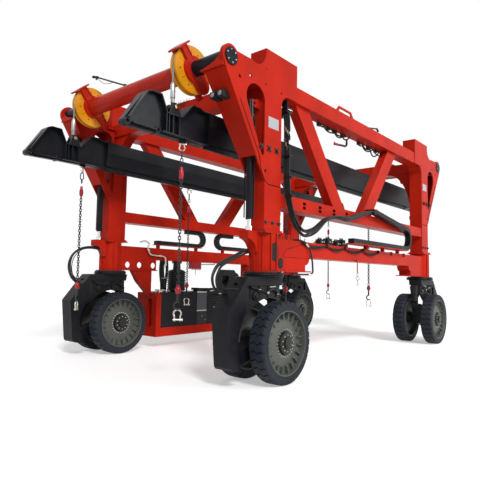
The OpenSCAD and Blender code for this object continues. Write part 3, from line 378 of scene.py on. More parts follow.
class Shape:
    """Gathers solids in metres in the machine's frame. side and end mirror it from the rear right corner."""

    def __init__(self, side=1, end=1):
        self.bm = bmesh.new()
        self.mirror = Matrix.Diagonal((side, end, 1.0, 1.0))

    def shell(self, rings, closed=False):
        """Skins rings of as many points each, as a closed tube or as one with end caps."""
        rows = [[self.bm.verts.new(p) for p in ring] for ring in rings]
        n = len(rows[0])
        for low, high in zip(rows, rows[1:] + rows[:1] if closed else rows[1:]):
            for k in range(n):
                self.bm.faces.new((low[k], low[(k + 1) % n], high[(k + 1) % n], high[k]))
        if not closed:
            self.bm.faces.new(rows[0][::-1])
            self.bm.faces.new(rows[-1])

    def prism(self, axis, t0, t1, outline):
        self.shell([[spread(axis, t, a, b) for a, b in outline] for t in (t0, t1)])

    def block(self, a, b):
        self.prism("z", a[2], b[2], [(a[0], a[1]), (b[0], a[1]), (b[0], b[1]), (a[0], b[1])])

    def lathe(self, start, axis, profile, n=24):
        """Revolves (distance along, radius) pairs about an axis from a point."""
        start, axis = Vector(start), Vector(axis).normalized()
        side = axis.orthogonal().normalized()
        other = axis.cross(side)
        self.shell([round_points(start + axis * along, side, other, radius, n) for along, radius in profile])

    def rod(self, p, q, r, n=12):
        p, q = Vector(p), Vector(q)
        length = (q - p).length
        edge = min(0.15 * r, 0.2 * length)
        self.lathe(p, q - p, [(0.0, r - edge), (edge, r), (length - edge, r), (length, r - edge)], n)

    def stub(self, p, axis, length, r, n=6):
        """A rod of a given length from a point along an axis."""
        self.rod(p, Vector(p) + length * axis, r, n)

    def bolt(self, p, axis, r, h):
        """A hexagon head on its washer."""
        p, axis = Vector(p), Vector(axis).normalized()
        self.lathe(p, axis, [(0.0, 1.25 * r), (0.2 * h, 1.25 * r)], 12)
        self.lathe(p + 0.2 * h * axis, axis, [(0.0, r), (0.7 * h, r), (0.8 * h, 0.85 * r)], 6)

    def bolts(self, centre, axis, radius, n, r, h, phase=0.0):
        """A circle of bolts with their heads along x or z."""
        a, b = (Y, UP) if axis[0] else (X, Y)
        for p in round_points(Vector(centre), a, b, radius, n, phase):
            self.bolt(p, axis, r, h)

    def tube(self, points, r, n=8, steps=5):
        path = smooth_path(points, steps) if steps > 1 else [Vector(p) for p in points]
        rings = []
        side = (path[1] - path[0]).orthogonal().normalized()
        for i, p in enumerate(path):
            along = (path[min(i + 1, len(path) - 1)] - path[max(i - 1, 0)]).normalized()
            side = (side - along * side.dot(along)).normalized()
            other = along.cross(side)
            rings.append(round_points(p, side, other, r, n))
        self.shell(rings)

    def loop(self, path, r, n):
        """A closed tube."""
        rings = []
        count = len(path)
        normal = (path[1] - path[0]).cross(path[count // 3] - path[0]).normalized()
        for i, p in enumerate(path):
            along = (path[(i + 1) % count] - path[i - 1]).normalized()
            rings.append(round_points(p, normal, along.cross(normal), r, n))
        self.shell(rings, closed=True)

    def ring(self, centre, axis, radius, r, n, m=8):
        centre, axis = Vector(centre), Vector(axis).normalized()
        a = axis.orthogonal().normalized()
        self.loop(round_points(centre, a, axis.cross(a), radius, n), r, m)

    def done(self, name, look, body, bevel=0.0, replaces=()):
        """Turns what was gathered into a piece that rides on a body, or on none."""
        bmesh.ops.transform(self.bm, matrix=self.mirror, verts=self.bm.verts)
        bmesh.ops.recalc_face_normals(self.bm, faces=self.bm.faces)
        for edge in self.bm.edges:
            edge.smooth = len(edge.link_faces) == 2 and edge.calc_face_angle(0.0) < SHARP
        for face in self.bm.faces:
            face.smooth = True
        mesh = bpy.data.meshes.new(name)
        self.bm.to_mesh(mesh)
        self.bm.free()
        obj = bpy.data.objects.new(name, mesh)
        scene.collection.objects.link(obj)
        mesh.materials.append(M[look])
        if bevel > 0.0:
            modifier = obj.modifiers.new("edges", "BEVEL")
            modifier.width = bevel
            modifier.segments = 2
            modifier.limit_method = "ANGLE"
            modifier.angle_limit = BEVELLED
        if body:
            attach(obj, body)
        if replaces:
            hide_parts(*replaces)
        return obj


def shapes(count, side=1, end=1):
    return [Shape(side, end) for _ in range(count)]


def at_wheel(x, y, z):
    """A point from its place beside the steering axis and its height."""
    return LEG_X + x, WHEEL_Y + y, z


# ---- Tyres and rims ----

LUGS = 31
# Profile of a tyre from its inner to its outer side: across, radius, share of the groove's depth
TYRE_ROWS = [
    (0.002, 0.412, 0.0), (0.0, 0.425, 0.0), (0.003, 0.45, 0.0), (0.001, 0.47, 0.0), (0.0, 0.48, 0.15),
    (0.002, 0.496, 0.75), (0.006, 0.509, 1.0), (0.014, 0.5185, 1.0), (0.028, 0.5235, 1.0), (0.046, 0.525, 1.0),
    (0.072, 0.525, 1.0), (0.094, 0.525, 0.9), (0.115, 0.525, 0.8)]
TYRE_ROWS += [(TYRE_W - w, r, d) for w, r, d in TYRE_ROWS[-2::-1]]
# Columns across one lug: place as a share of the pitch, share of the groove's depth
LUG_COLUMNS = [
    (0.0, 0.0), (0.03, 0.85), (0.09, 1.0), (0.15, 0.85), (0.18, 0.0), (0.38, 0.0), (0.6, 0.0), (0.82, 0.0)]
GROOVE_DEPTH = 0.021


def groove_shift(w):
    """How far a groove runs round the tyre, in shares of the pitch, at a place across it."""
    t = w / TYRE_W
    wave = [(0.0, 0.3), (0.18, 0.1), (0.42, 0.42), (0.58, 0.0), (0.82, 0.32), (1.0, 0.12)]
    for (t0, s0), (t1, s1) in zip(wave, wave[1:]):
        if t <= t1:
            return s0 + (s1 - s0) * (t - t0) / (t1 - t0)
    return wave[-1][1]


def add_tyre(shape, x, out):
    """A tyre whose inner side is at x; out is 1 if its outer side is towards larger x."""
    rows = []
    for lug in range(LUGS):
        for share, depth in LUG_COLUMNS:
            row = []
            for w, r, groove in TYRE_ROWS:
                turn = tau * (lug + share + (groove_shift(w) if r > 0.475 else 0.2)) / LUGS
                radius = r - GROOVE_DEPTH * depth * groove
                row.append(shape.bm.verts.new((
                    x + out * w, WHEEL_Y + radius * cos(turn), AXLE_Z + radius * sin(turn))))
            rows.append(row)
    for low, high in zip(rows, rows[1:] + rows[:1]):
        for k in range(len(TYRE_ROWS) - 1):
            shape.bm.faces.new((low[k], low[k + 1], high[k + 1], high[k]))


for corner, (side, end) in CORNERS.items():
    body = "wheels_" + corner
    tyres, bolts, lips = shapes(3, side, end)
    for out in (-1, 1):
        x = LEG_X + out * TYRE_GAP / 2
        rim_face = x + out * (TYRE_W - 0.012)
        add_tyre(tyres, x, out)
        bolts.bolts((x + out * (TYRE_W - 0.052), WHEEL_Y, AXLE_Z), out * X, 0.1725, 24, 0.0085, 0.016)
        bolts.bolts((rim_face, WHEEL_Y, AXLE_Z), out * X, 0.105, 10, 0.007, 0.012, 0.5)
        lips.ring((x + out * (TYRE_W - 0.003), WHEEL_Y, AXLE_Z), X, RIM_R - 0.007, 0.006, 64, 6)
        lips.lathe((rim_face, WHEEL_Y, AXLE_Z), out * X, [(0.0, 0.07), (0.02, 0.068), (0.026, 0.058)])
    tyres.done("tyre_pair_" + corner, "tyre", body, replaces=("tyres_" + corner,))
    bolts.done("rim_bolts_" + corner, "zinc", body)
    lips.done("rim_lips_" + corner, "grey", body)

# ---- Lifting chains ----


def heading(turn):
    return Vector((cos(turn), sin(turn), 0.0))


def add_link(shape, centre, turn, length, width, wire):
    """A chain link that stands upright, turned about the vertical."""
    half = (length - width) / 2
    r = width / 2 - wire / 2
    across = heading(turn)
    shape.loop([centre + r * c * across + (r * s + half * copysign(1.0, s)) * UP for c, s in circle(16, 0.5)],
               wire / 2, 7)


def add_bow(shape, pin, turn, direction, radius, wire, leg):
    """A bow shackle: its pin at a point, its bow towards direction (1 up, -1 down)."""
    across = heading(turn)
    up = direction * UP
    eye = 0.72 * radius * across
    path = [pin - eye]
    for i in range(13):
        a = radians(-35 + 250 * i / 12)
        path.append(pin + up * leg + radius * (sin(a) * up - cos(a) * across))
    path.append(pin + eye)
    shape.tube(path, wire, 10, 3)
    for place in (pin - eye, pin + eye):
        shape.rod(place - across * 0.013, place + across * 0.013, wire * 1.75, 14)
    shape.rod(pin - across * radius * 1.15, pin + across * radius * 1.15, wire * 0.95)
    shape.bolt(pin + across * radius * 1.12, across, wire * 1.5, 0.016)


# Columns: place along the machine, turn about the vertical in degrees
CHAIN_SETS = [(-WHEEL_Y - 0.99, 52.0), (-1.5, 125.0), (1.5, 55.0), (WHEEL_Y + 0.99, 128.0)]
CLUTCH_Z = BEAM_Z - 0.325
LINK_PITCH = 0.0405
# The red shortening clutch and the red coupling: foot, profile, rods across it (height, half length, radius)
RED_PARTS = [
    (CLUTCH_Z - 0.15,
     [(0.0, 0.014), (0.012, 0.026), (0.05, 0.031), (0.095, 0.028), (0.13, 0.019), (0.16, 0.017)],
     [(CLUTCH_Z - 0.05, 0.03, 0.014), (CLUTCH_Z - 0.118, 0.026, 0.012)]),
    (1.12, [(0.0, 0.016), (0.01, 0.03), (0.055, 0.034), (0.08, 0.03), (0.098, 0.014)], [(1.168, 0.04, 0.015)])]
LOW_PIN_Z = BEAM_Z - CHAIN_L + 0.014
for name, side in SIDES.items():
    body = "lifting_beam_" + name
    links, bows, reds, darks = shapes(4, side)
    for y, turn_deg in CHAIN_SETS:
        turn = radians(turn_deg)
        axis = Vector((ROPE_X, y, 0.0))
        across = heading(turn)
        # top shackle, master link and the long run of links
        add_bow(bows, axis + (BEAM_Z - 0.017) * UP, turn, -1, 0.036, 0.0095, 0.05)
        add_link(links, axis + (BEAM_Z - 0.155) * UP, turn + pi / 2, 0.12, 0.066, 0.015)
        add_link(links, axis + (BEAM_Z - 0.235) * UP, turn, 0.075, 0.046, 0.013)
        for i in range(int((CLUTCH_Z - 0.155 - 1.225) / LINK_PITCH)):
            add_link(links, axis + (CLUTCH_Z - 0.168 - LINK_PITCH * i) * UP,
                     turn + (i % 2) * pi / 2, 0.066, 0.043, 0.0125)
        # the red parts, the hook and the shackle in it
        for foot, profile, rods in RED_PARTS:
            reds.lathe(axis + foot * UP, UP, profile, 18)
            for z, half, r in rods:
                reds.rod(axis + half * across + z * UP, axis - half * across + z * UP, r)
        add_link(reds, axis + 1.212 * UP, turn, 0.05, 0.052, 0.013)
        darks.stub(axis + 1.125 * UP, -UP, 0.105, 0.016, 12)
        hook = [axis + 1.035 * UP]
        for i in range(11):
            a = radians(80 + 235 * i / 10)
            hook.append(axis + 0.975 * UP + 0.046 * (cos(a) * across + sin(a) * UP))
        darks.tube(hook, 0.0125, 10, 3)
        add_bow(bows, axis + LOW_PIN_Z * UP, turn, 1, 0.048, 0.0105, 0.075)
    links.done("chain_links_" + name, "chain", body, replaces=("chains_" + name,))
    bows.done("chain_shackles_" + name, "zinc", body)
    reds.done("chain_couplings_" + name, "deep_red", body)
    darks.done("chain_hooks_" + name, "chain", body)

# ---- Hoist: painted shade in the discs' scored lines and holes, rope clamps, bolts of the end caps, feeler arm ----


def on_disc(x, reach, across):
    """A point on a disc's face: reach along the clamp's direction, across square to it."""
    c, d = cos(CLAMP_TURN), sin(CLAMP_TURN)
    return x, HOIST_Y + reach * c - across * d, HOIST_Z + reach * d + across * c


for name, end in ENDS.items():
    body = "hoist_" + name
    groove_shade, bolts, clamps, hubs = shapes(4, 1, end)
    for side in (-1, 1):
        for out in (-1, 1):
            centre = Vector((side * ROPE_X + out * (DISC_W / 2 - 0.0005), HOIST_Y, HOIST_Z))
            # six scored lines, and a hole halfway between each pair, drawn black as painted shade
            for line, spot in zip(round_points(Vector(), Y, UP, 1.0, 6, 19 / 60),
                                  round_points(centre, Y, UP, 0.232, 6, 49 / 60)):
                groove_shade.rod(centre + 0.188 * line, centre + 0.262 * line, 0.0022, 6)
                groove_shade.lathe(spot, out * X, [(-0.004, 0.01), (0.0012, 0.01)], 14)
        # inner face: the clamp's box arm with its raised edges, and the bracket across from it
        x0 = side * (ROPE_X - DISC_W / 2 - 0.001)
        x1 = x0 - side * 0.034
        for z0, z1, w0, w1 in ((0.12, DISC_R + 0.016, 0.078, 0.06), (-0.12, -0.385, 0.075, 0.04)):
            plates = [(x0, x1, [(z0, -w0), (z1, -w1), (z1, w1), (z0, w0)])]
            for sign in (-1, 1):
                plates.append((x1, x1 - side * 0.016, [
                    (z0, sign * w0), (z1, sign * w1), (z1, sign * (w1 - 0.01)), (z0, sign * (w0 - 0.01))]))
            cap_z, cap_w = z1 + copysign(0.014, z1), w1 + 0.012
            plates.append((x0, x1 - side * 0.02, [(z1, -cap_w), (cap_z, -cap_w), (cap_z, cap_w), (z1, cap_w)]))
            for near, far, outline in plates:
                clamps.shell([[on_disc(x, reach, w) for reach, w in outline] for x in (near, far)])
        hubs.ring((x1 + side * 0.002, HOIST_Y, HOIST_Z), X, 0.134, 0.006, 48)
        bolts.bolts((side * (LEG_OUT_X + 0.0145), HOIST_Y, HOIST_Z), side * X, 0.082, 6, 0.008, 0.012, 1 / 3)
    groove_shade.done("disc_groove_shade_" + name, "painted_shade", body)
    bolts.done("hoist_bolts_" + name, "steel", body)
    clamps.done("clamp_arms_" + name, "red", body, bevel=0.002)
    hubs.done("hub_welds_" + name, "red", body)

feeler = Shape(1, -1)
feeler.stub((-0.27, HOIST_Y, HOIST_Z + 0.125), UP, 0.05, 0.026, 14)
feeler.rod((-0.255, HOIST_Y, HOIST_Z + 0.152), (-1.015, HOIST_Y, 4.505), 0.0125)
feeler.rod((-1.01, HOIST_Y - 0.012, 4.508), (-1.03, HOIST_Y + 0.085, 4.49), 0.02)
feeler.rod((-1.0, HOIST_Y, 4.5), (-1.06, HOIST_Y, 4.478), 0.01, 10)
feeler.tube([(-0.6, HOIST_Y, 4.315)] + [(x, HOIST_Y + 0.006, z) for x, z in (
    (-0.7, 4.32), (-0.82, 4.355), (-0.94, 4.43), (-1.02, 4.49))], 0.0042, 6)
feeler.done("feeler_arm", "rubber", "hoist_front")

# ---- Lifting beams: pins, sleeves, keel holes, falls of the ropes ----

FALL_L = HOIST_Z - PIN_Z - 0.3
for name, side in SIDES.items():
    body = "lifting_beam_" + name
    pins, sleeves, holes, falls = shapes(4, side)
    for end in (-1, 1):
        pin_y = end * (HOIST_Y + ROPE_R)
        for out in (-1, 1):
            pins.lathe((ROPE_X + out * 0.078, pin_y, PIN_Z), out * X,
                       [(-0.012, 0.027), (0.003, 0.027), (0.006, 0.02)], 20)
            for y, z in ((1.437, 0.05), (1.884, 0.048)):
                holes.ring((ROPE_X + out * 0.0605, end * (WHEEL_Y + y), BEAM_Z + z), X, 0.034, 0.004, 24, 6)
        sleeves.lathe((ROPE_X, pin_y, PIN_Z + 0.062), UP,
                      [(0.0, 0.0235), (0.004, 0.0255), (0.055, 0.0255), (0.066, 0.0315), (0.232, 0.0315),
                       (0.244, 0.026), (0.262, 0.0185)], 20)
        falls.lathe((ROPE_X, pin_y, PIN_Z + 0.3), UP, [(FALL_L * i / 16, 0.014) for i in range(17)], 18)
    for end in (-1, 1):
        for y in (3.4, 3.06, 2.69, 2.31, 1.95, 1.5, 0.9, 0.3):
            for out in (-1, 1):
                holes.lathe((ROPE_X + out * 0.0195, end * y, BEAM_Z + 0.04), out * X,
                            [(0.0, 0.021), (0.004, 0.021), (0.0045, 0.012)], 18)
    pins.done("rope_pins_" + name, "brass", body)
    falls = falls.done("ropes_" + name, "rope", None, replaces=("rope_falls",))
    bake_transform(falls)
    sleeves.done("rope_sleeves_" + name, "steel", body)
    holes.done("keel_eyes_" + name, "beam", body)

# ---- Legs: seams and round spots drawn black as painted shade, bolts, blank plates, lamps ----

for corner, (side, end) in CORNERS.items():
    seam_shade, bolts, plates = shapes(3, side, end)
    x = LEG_OUT_X + 0.0005
    # black lines along the seams and black round spots: painted shade
    arm = [(x, COLUMN_OUT + ARM_SLOPE * (z - 2.614) - 0.075, z) for z in (3.56, 2.93)]
    seam_shade.tube(arm, 0.0045, 6, 1)
    seam_shade.tube([arm[1]] + at_x(x, (3.085, 2.72), (3.02, 2.625), (2.99, 2.6), (2.93, 2.572),
                               (COLUMN_IN + 0.002, 2.572)), 0.005, 6, 1)
    seam_shade.tube(at_x(x, (COLUMN_OUT, 2.072), (COLUMN_IN, 2.072)), 0.0022, 6, 1)
    for y, z, r in ((3.023, 3.899, 0.011), (3.007, 4.115, 0.008), (2.663, 3.883, 0.012), (3.004, 2.742, 0.02),
                    (2.4, 4.3, 0.006)):
        seam_shade.lathe((x - 0.002, y, z), X, [(0.0, r), (0.0035, r)], 14)
    for y in (3.11, 2.935, 2.765):
        bolts.lathe((x, y, 3.05), X,
                    [(0.0, 0.03), (0.006, 0.03), (0.008, 0.02), (0.03, 0.02), (0.034, 0.014)], 18)
        bolts.bolts((x + 0.004, y, 3.05), X, 0.042, 4, 0.008, 0.014, 0.5)
    for y in (COLUMN_OUT - 0.03, 2.835, COLUMN_IN + 0.04):
        bolts.lathe((x, y, 2.068), X, [(0.0, 0.026), (0.008, 0.026), (0.01, 0.016), (0.024, 0.016)], 18)
    for i in range(9):
        bolts.bolt((LEG_X - 0.184 + 0.368 * (i + 0.5) / 9, COLUMN_OUT + 0.018, FLANGE_Z), UP, 0.011, 0.018)
    plates.prism("x", LEG_OUT_X - 0.001, LEG_OUT_X + 0.0022,
                 [(2.948, 3.34), (2.948, 3.49), (2.721, 3.49), (2.721, 3.34)])
    seam_shade.done("leg_seam_shade_" + corner, "painted_shade", "upper_frame")
    bolts.done("leg_bolts_" + corner, "chain", "upper_frame")
    plates.done("blank_plate_" + corner, "plate", "upper_frame", bevel=0.0008)

for name, side in SIDES.items():
    lenses, cases = shapes(2, side, -1)
    for x in (1.546, 1.671):
        lenses.lathe((x + 0.045, 3.754, 3.594), Y, [(0.0, 0.033), (0.004, 0.033), (0.009, 0.022)])
        cases.ring((x + 0.045, 3.757, 3.594), Y, 0.036, 0.004, 28)
        for y in (3.68, 3.694, 3.708, 3.722, 3.736):
            cases.block((x - 0.003, y, 3.632), (x + 0.093, y + 0.005, 3.642))
        cases.block((x - 0.008, 3.66, 3.57), (x + 0.098, 3.69, 3.58))
    lenses.done("lamp_lenses_" + name, "lens", "upper_frame")
    cases.done("lamp_cases_" + name, "lamp", "upper_frame", bevel=0.001)

# ---- Hoses that cross the steering joints ----

CORNER_LOOPS = {
    "front_right": [
        *at_x(1.6, (3.02, 1.705), (3.16, 1.67), (3.33, 1.605), (3.5, 1.54), (3.6, 1.49), (3.665, 1.41),
              (3.69, 1.326), (3.67, 1.24), (3.62, 1.19)),
        (1.61, 3.53, 1.162), (1.62, 3.45, 1.15)],
    "front_left": [
        (1.68, 3.08, 1.8), (1.7, 3.25, 1.82),
        *at_x(1.72, (3.4, 1.8), (3.52, 1.745), (3.625, 1.64), (3.66, 1.495), (3.62, 1.345),
              (3.54, 1.25), (3.44, 1.195))]}
for corner, path in CORNER_LOOPS.items():
    side, end = CORNERS[corner]
    thick, thin = shapes(2, side, end)
    thick.tube(path, 0.017, 12)
    thick.tube([(x + 0.05, y - 0.016, z - 0.018) for x, y, z in path], 0.013, 10)
    thin.tube([(x - 0.02, y - 0.03 + 0.012 * sin(1.1 * i), z - 0.012)
               for i, (x, y, z) in enumerate(path)], 0.007)
    thin.tube([(x + 0.03, y - 0.045, z + 0.01) for x, y, z in path[:-1]], 0.008)
    for shape, name in ((thick, "steering_hoses_"), (thin, "sensor_cables_")):
        loop = shape.done(name + corner, "rubber", None)
        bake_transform(loop)

# ---- Energy chains: their links, drawn out between the lower beams and the frame ----

LINK_H = 0.076
LINK_W = 0.115


def chain_run(shape, x, y, z_low, r, rise, upper, lower, turn=1):
    """A U of plastic links in the plane x; y is its bend's centre, and turn -1 mirrors it end to end."""
    half = 0.5 * LINK_H
    lean = atan2(rise, upper - 0.14)
    top = z_low + 2 * r + rise
    path = [Vector((y - lower, z_low + half))]
    for i in range(33):
        a = -0.5 * pi + (pi - lean) * i / 32
        path.append(Vector((y + (r - half) * cos(a), z_low + r + (r - half) * sin(a))))
    path += [Vector((y - upper + 0.14, top - half)), Vector((y - upper, top - half))]
    reach = [0.0]
    for a, b in zip(path, path[1:]):
        reach.append(reach[-1] + (b - a).length)
    rings = []
    count = round(reach[-1] / 0.062)
    pitch = reach[-1] / count
    for link in range(count):
        for share, inset in ((0.03, 0.006), (0.1, 0.0), (0.9, 0.0), (0.97, 0.006)):
            s = (link + share) * pitch
            i = next(k for k, v in enumerate(reach[1:]) if v >= s)
            along = (path[i + 1] - path[i]).normalized()
            place = path[i] + (s - reach[i]) * along
            out = Vector((-along.y, along.x))
            ring = []
            for dx, dn in ((-1, -1), (1, -1), (1, 1), (-1, 1)):
                q = place + dn * (half - inset) * out
                ring.append((x + dx * (LINK_W / 2 - inset), turn * q.x, q.y))
            rings.append(ring)
    shape.shell(rings)


right_run = Shape()
chain_run(right_run, 1.9285, 1.5, 1.94, 0.23, 0.177, 1.5, 2.26)
right_run = right_run.done("energy_chain_right", "plastic", None, replaces=("energy_chains",))
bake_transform(right_run)
left_runs = Shape()
chain_run(left_runs, -1.725, -0.65, 1.954, 0.17285, 0.0, 0.38, 1.18)
chain_run(left_runs, -1.725, -0.05, 1.954, 0.17285, 0.0, 0.38, 1.18, -1)
left_runs = left_runs.done("energy_chains_left", "plastic", None, replaces=("energy_chains",))
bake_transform(left_runs)

# ---- Housings, slewing rings and the lift barrels' oil pipes ----

for corner, (side, end) in CORNERS.items():
    body = "steering_" + corner
    ring_bolts, slew_bolts, slew_dark, pipes = shapes(4, side, end)
    # no housing bolts where the deep box stands, nor, on the right side, at the outer end
    for c, s in circle(28):
        if (s < 0.8 or side < 0) and (abs(0.192 * c) > 0.15 or s > 0.0):
            ring_bolts.bolt(at_wheel(0.192 * c, 0.192 * s, HOUSING_Z + 0.0235), UP, 0.0065, 0.014)
    slew_bolts.bolts(at_wheel(0, 0, SLEW_Z), UP, 0.24, 28, 0.008, 0.014)
    slew_dark.ring(at_wheel(0, 0, 1.385), UP, 0.27, 0.01, 64)
    slew_dark.ring(at_wheel(0, 0, 1.362), UP, 0.272, 0.006, 64, 6)
    flange = [(LEG_X + 0.16, y) for y in (2.69, 2.78, 2.87, 2.96)]
    flange += [(LEG_X + x, COLUMN_OUT + 0.018) for x in (-0.12, -0.04, 0.04, 0.12)]
    for x, y in flange:
        ring_bolts.bolt((x, y, FLANGE_Z - 0.0225), -UP, 0.01, 0.016)
    ring_bolts.done("housing_bolts_" + corner, "chain", "base")
    slew_bolts.done("slewing_bolts_" + corner, "chain", body)
    slew_dark.done("slewing_rings_" + corner, "black", body)
    for x in (-0.078, 0.078):
        path = [(LIFT_X + x, 3.137, z) for z in (2.125, 2.6, 3.1, 3.4)]
        if x < 0:
            path.append((LIFT_X + 0.3 * x, 3.131, 3.46))
        pipes.tube(path, 0.008)
    pipes.done("barrel_pipes_" + corner, "black", "upper_frame")

# front right housing: cover plates, the pipe round the deep box's end, its seams drawn black as painted shade
covers, corner_pipe, corner_zinc, box_seam_shade = shapes(4, 1, -1)
for x, y, z, w, h, thick in ((1.846, 2.826, 1.685, 0.15, 0.25, 0.062), (1.85, 2.624, 1.544, 0.105, 0.142, 0.008)):
    covers.prism("x", x - 0.004, x + thick, [
        (y + 0.5 * w * c, z + 0.5 * (h - w) * (1 if s > 0 else -1) + 0.5 * w * s) for c, s in circle(32)])
for x, y, z in ((1.907, 2.826, 1.792), (1.907, 2.826, 1.578), (1.858, 2.624, 1.59), (1.858, 2.624, 1.498)):
    covers.bolt((x, y, z), X, 0.006, 0.008)
covers.done("housing_covers", "engine", "base")
corner_pipe.tube([
    (1.8, 2.26, 1.888), (1.86, 2.18, 1.885), (1.882, 2.08, 1.862), (1.884, 2.0, 1.82), (1.885, 1.925, 1.735),
    (1.886, 1.882, 1.61), (1.886, 1.866, 1.5), (1.885, 1.87, 1.43), (1.87, 1.94, 1.404), (1.84, 2.1, 1.4),
    (1.8, 2.33, 1.402)], 0.013, 10)
corner_pipe.tube([(1.83, 2.3, 1.403), (1.82, 2.15, 1.399), (1.83, 2.02, 1.402), (1.86, 1.97, 1.404)], 0.011)
corner_pipe.done("corner_pipe", "rubber", "base")
corner_zinc.rod((1.883, 2.045, 1.845), (1.884, 1.985, 1.805), 0.0165, 14)
corner_zinc.rod((1.885, 1.905, 1.4), (1.86, 1.965, 1.404), 0.015, 14)
corner_zinc.stub((1.83, 1.99, 1.872), UP, 0.053, 0.014, 12)
corner_zinc.done("corner_pipe_unions", "zinc", "base")
# the deep box's seams: black lines of painted shade
box_seam_shade.tube(at_x(LOWER_BEAM_OUT + 0.0005, (2.56, 1.655), (2.51, 1.735), (2.0, 1.846)), 0.0024, 6, 1)
box_seam_shade.tube(at_x(LOWER_BEAM_OUT + 0.0005, (2.575, 1.634), (1.905, 1.634)), 0.002, 6, 1)
box_seam_shade.done("deep_box_seam_shade", "painted_shade", "base")

# ---- Suspension between the tyres ----

# Outline of the web from the steering axis: its lower edge is an arc round the axle and then falls off
WEB = [(-0.235, 1.25)]
for i in range(13):
    y = -0.235 + 0.855 * i / 12
    WEB.append((y, AXLE_Z + (sqrt(0.555 ** 2 - y * y) if y < 0.4 else 0.385 - 0.55 * (y - 0.4))))
WEB += [(0.62, 1.2), (0.48, 1.25)]
for corner, (side, end) in CORNERS.items():
    body = "steering_" + corner
    web, lines, shine = shapes(3, side, end)
    web.prism("x", LEG_X - 0.105, LEG_X + 0.105, [(WHEEL_Y + y, z) for y, z in WEB])
    for out, x in ((-1, -0.118), (1, 0.106)):
        for y in (-0.16, 0.02, 0.2, 0.38):
            web.block(at_wheel(x, y, 1.085), at_wheel(x + 0.012, y + 0.018, 1.245))
        web.lathe(at_wheel(out * 0.118, 0.3, 1.11), out * X,
                  [(-0.012, 0.052), (0.012, 0.052), (0.018, 0.03), (0.036, 0.03)], 20)
    web.done("suspension_webs_" + corner, "engine", body, bevel=0.002)
    for k, x in enumerate((0.125, 0.142, -0.135)):
        lines.tube([at_wheel(*p) for p in (
            (x, 0.42, 1.225), (x, 0.26, 1.205 - 0.02 * k), (x, 0.1, 1.165), (x, -0.04, 1.19 + 0.01 * k),
            (x, -0.16, 1.15), (0.8 * x, -0.235, 1.11))], 0.011)
    lines.rod(at_wheel(0, -0.245, 1.245), at_wheel(0, -0.262, 0.9), 0.052, 18)
    lines.done("suspension_lines_" + corner, "rubber", body)
    for y, z in ((0.255, 1.185), (0.075, 1.15), (-0.15, 1.135)):
        shine.rod(at_wheel(0.124, y, z), at_wheel(0.124, y - 0.045, z + 0.004), 0.0165, 6)
    shine.rod(at_wheel(0.13, 0.02, 1.225), at_wheel(0.13, -0.11, 1.232), 0.008, 8)
    shine.done("suspension_unions_" + corner, "zinc", body)

# ---- Right lower beam: valves and hoses on its top, brackets, the strap with its hook ----

beam_black, beam_zinc, beam_red = shapes(3, 1, -1)
top = LOWER_BEAM_TOP
# Clips that hold the three cables along the beam, between which they sag
TIES = (2.12, 1.428, 0.853, 0.208, -0.395)
for k in range(3):
    path = []
    for i, (y0, y1) in enumerate(zip(TIES, TIES[1:])):
        for t in (0.0, 0.25, 0.5, 0.75):
            sag = (0.028 + 0.016 * k) * sin(pi * t)
            path.append((1.863 + 0.008 * k, y0 + (y1 - y0) * t, 1.85 - 0.006 * i - sag))
    path.append((1.863, TIES[-1], 1.828))
    beam_black.tube(path, 0.0085, 8, 3)
for y in TIES[1:]:
    beam_black.block((LOWER_BEAM_OUT, y - 0.01, 1.815), (1.89, y + 0.01, 1.866))
for y, w, h in ((1.52, 0.1, 0.075), (1.28, 0.13, 0.105), (1.02, 0.1, 0.085), (0.84, 0.12, 0.115)):
    beam_black.block((1.745, y - w / 2, top - 0.001), (1.835, y + w / 2, top + h))
    for j in (-1, 1):
        beam_zinc.stub((1.79, y + j * w * 0.28, top + h), UP, 0.03, 0.013)
        beam_zinc.stub((1.835, y + j * w * 0.25, top + 0.45 * h), X, 0.027, 0.011)
    beam_black.tube([
        (1.79, y - 0.1, top + 0.5 * h), (1.8, y - 0.03, top + h + 0.01), (1.8, y + 0.05, top + h + 0.008),
        (1.79, y + 0.11, top + 0.5 * h), (1.78, y + 0.15, top + 0.012)], 0.009)
for y in (0.152, -0.447, -1.025, -1.641):
    beam_black.block((LOWER_BEAM_OUT, y - 0.022, top - 0.055), (1.866, y + 0.022, top + 0.012))
    beam_black.block((1.8, y - 0.022, top - 0.001), (1.866, y + 0.022, top + 0.011))
beam_black.done("beam_valves", "lamp", "base", bevel=0.0015)
beam_red.prism("y", 0.408, 0.442, [(1.868, 1.65), (1.873, 1.65), (1.875, 1.45), (1.87, 1.45)])
beam_red.block((LOWER_BEAM_OUT, 0.395, 1.646), (1.886, 0.455, 1.67))
beam_red.done("strap", "deep_red", "base", bevel=0.001)
beam_zinc.ring((1.872, 0.425, 1.425), X, 0.026, 0.005, 24)
beam_zinc.ring((1.872, 0.415, 1.362), Y, 0.03, 0.006, 24)
beam_zinc.stub((1.872, 0.415, 1.335), -UP, 0.06, 0.007, 10)
beam_zinc.ring((1.872, 0.415, 1.262), X, 0.018, 0.006, 20)
beam_zinc.done("beam_unions", "zinc", "base")

# ---- Hoses behind the right front column ----

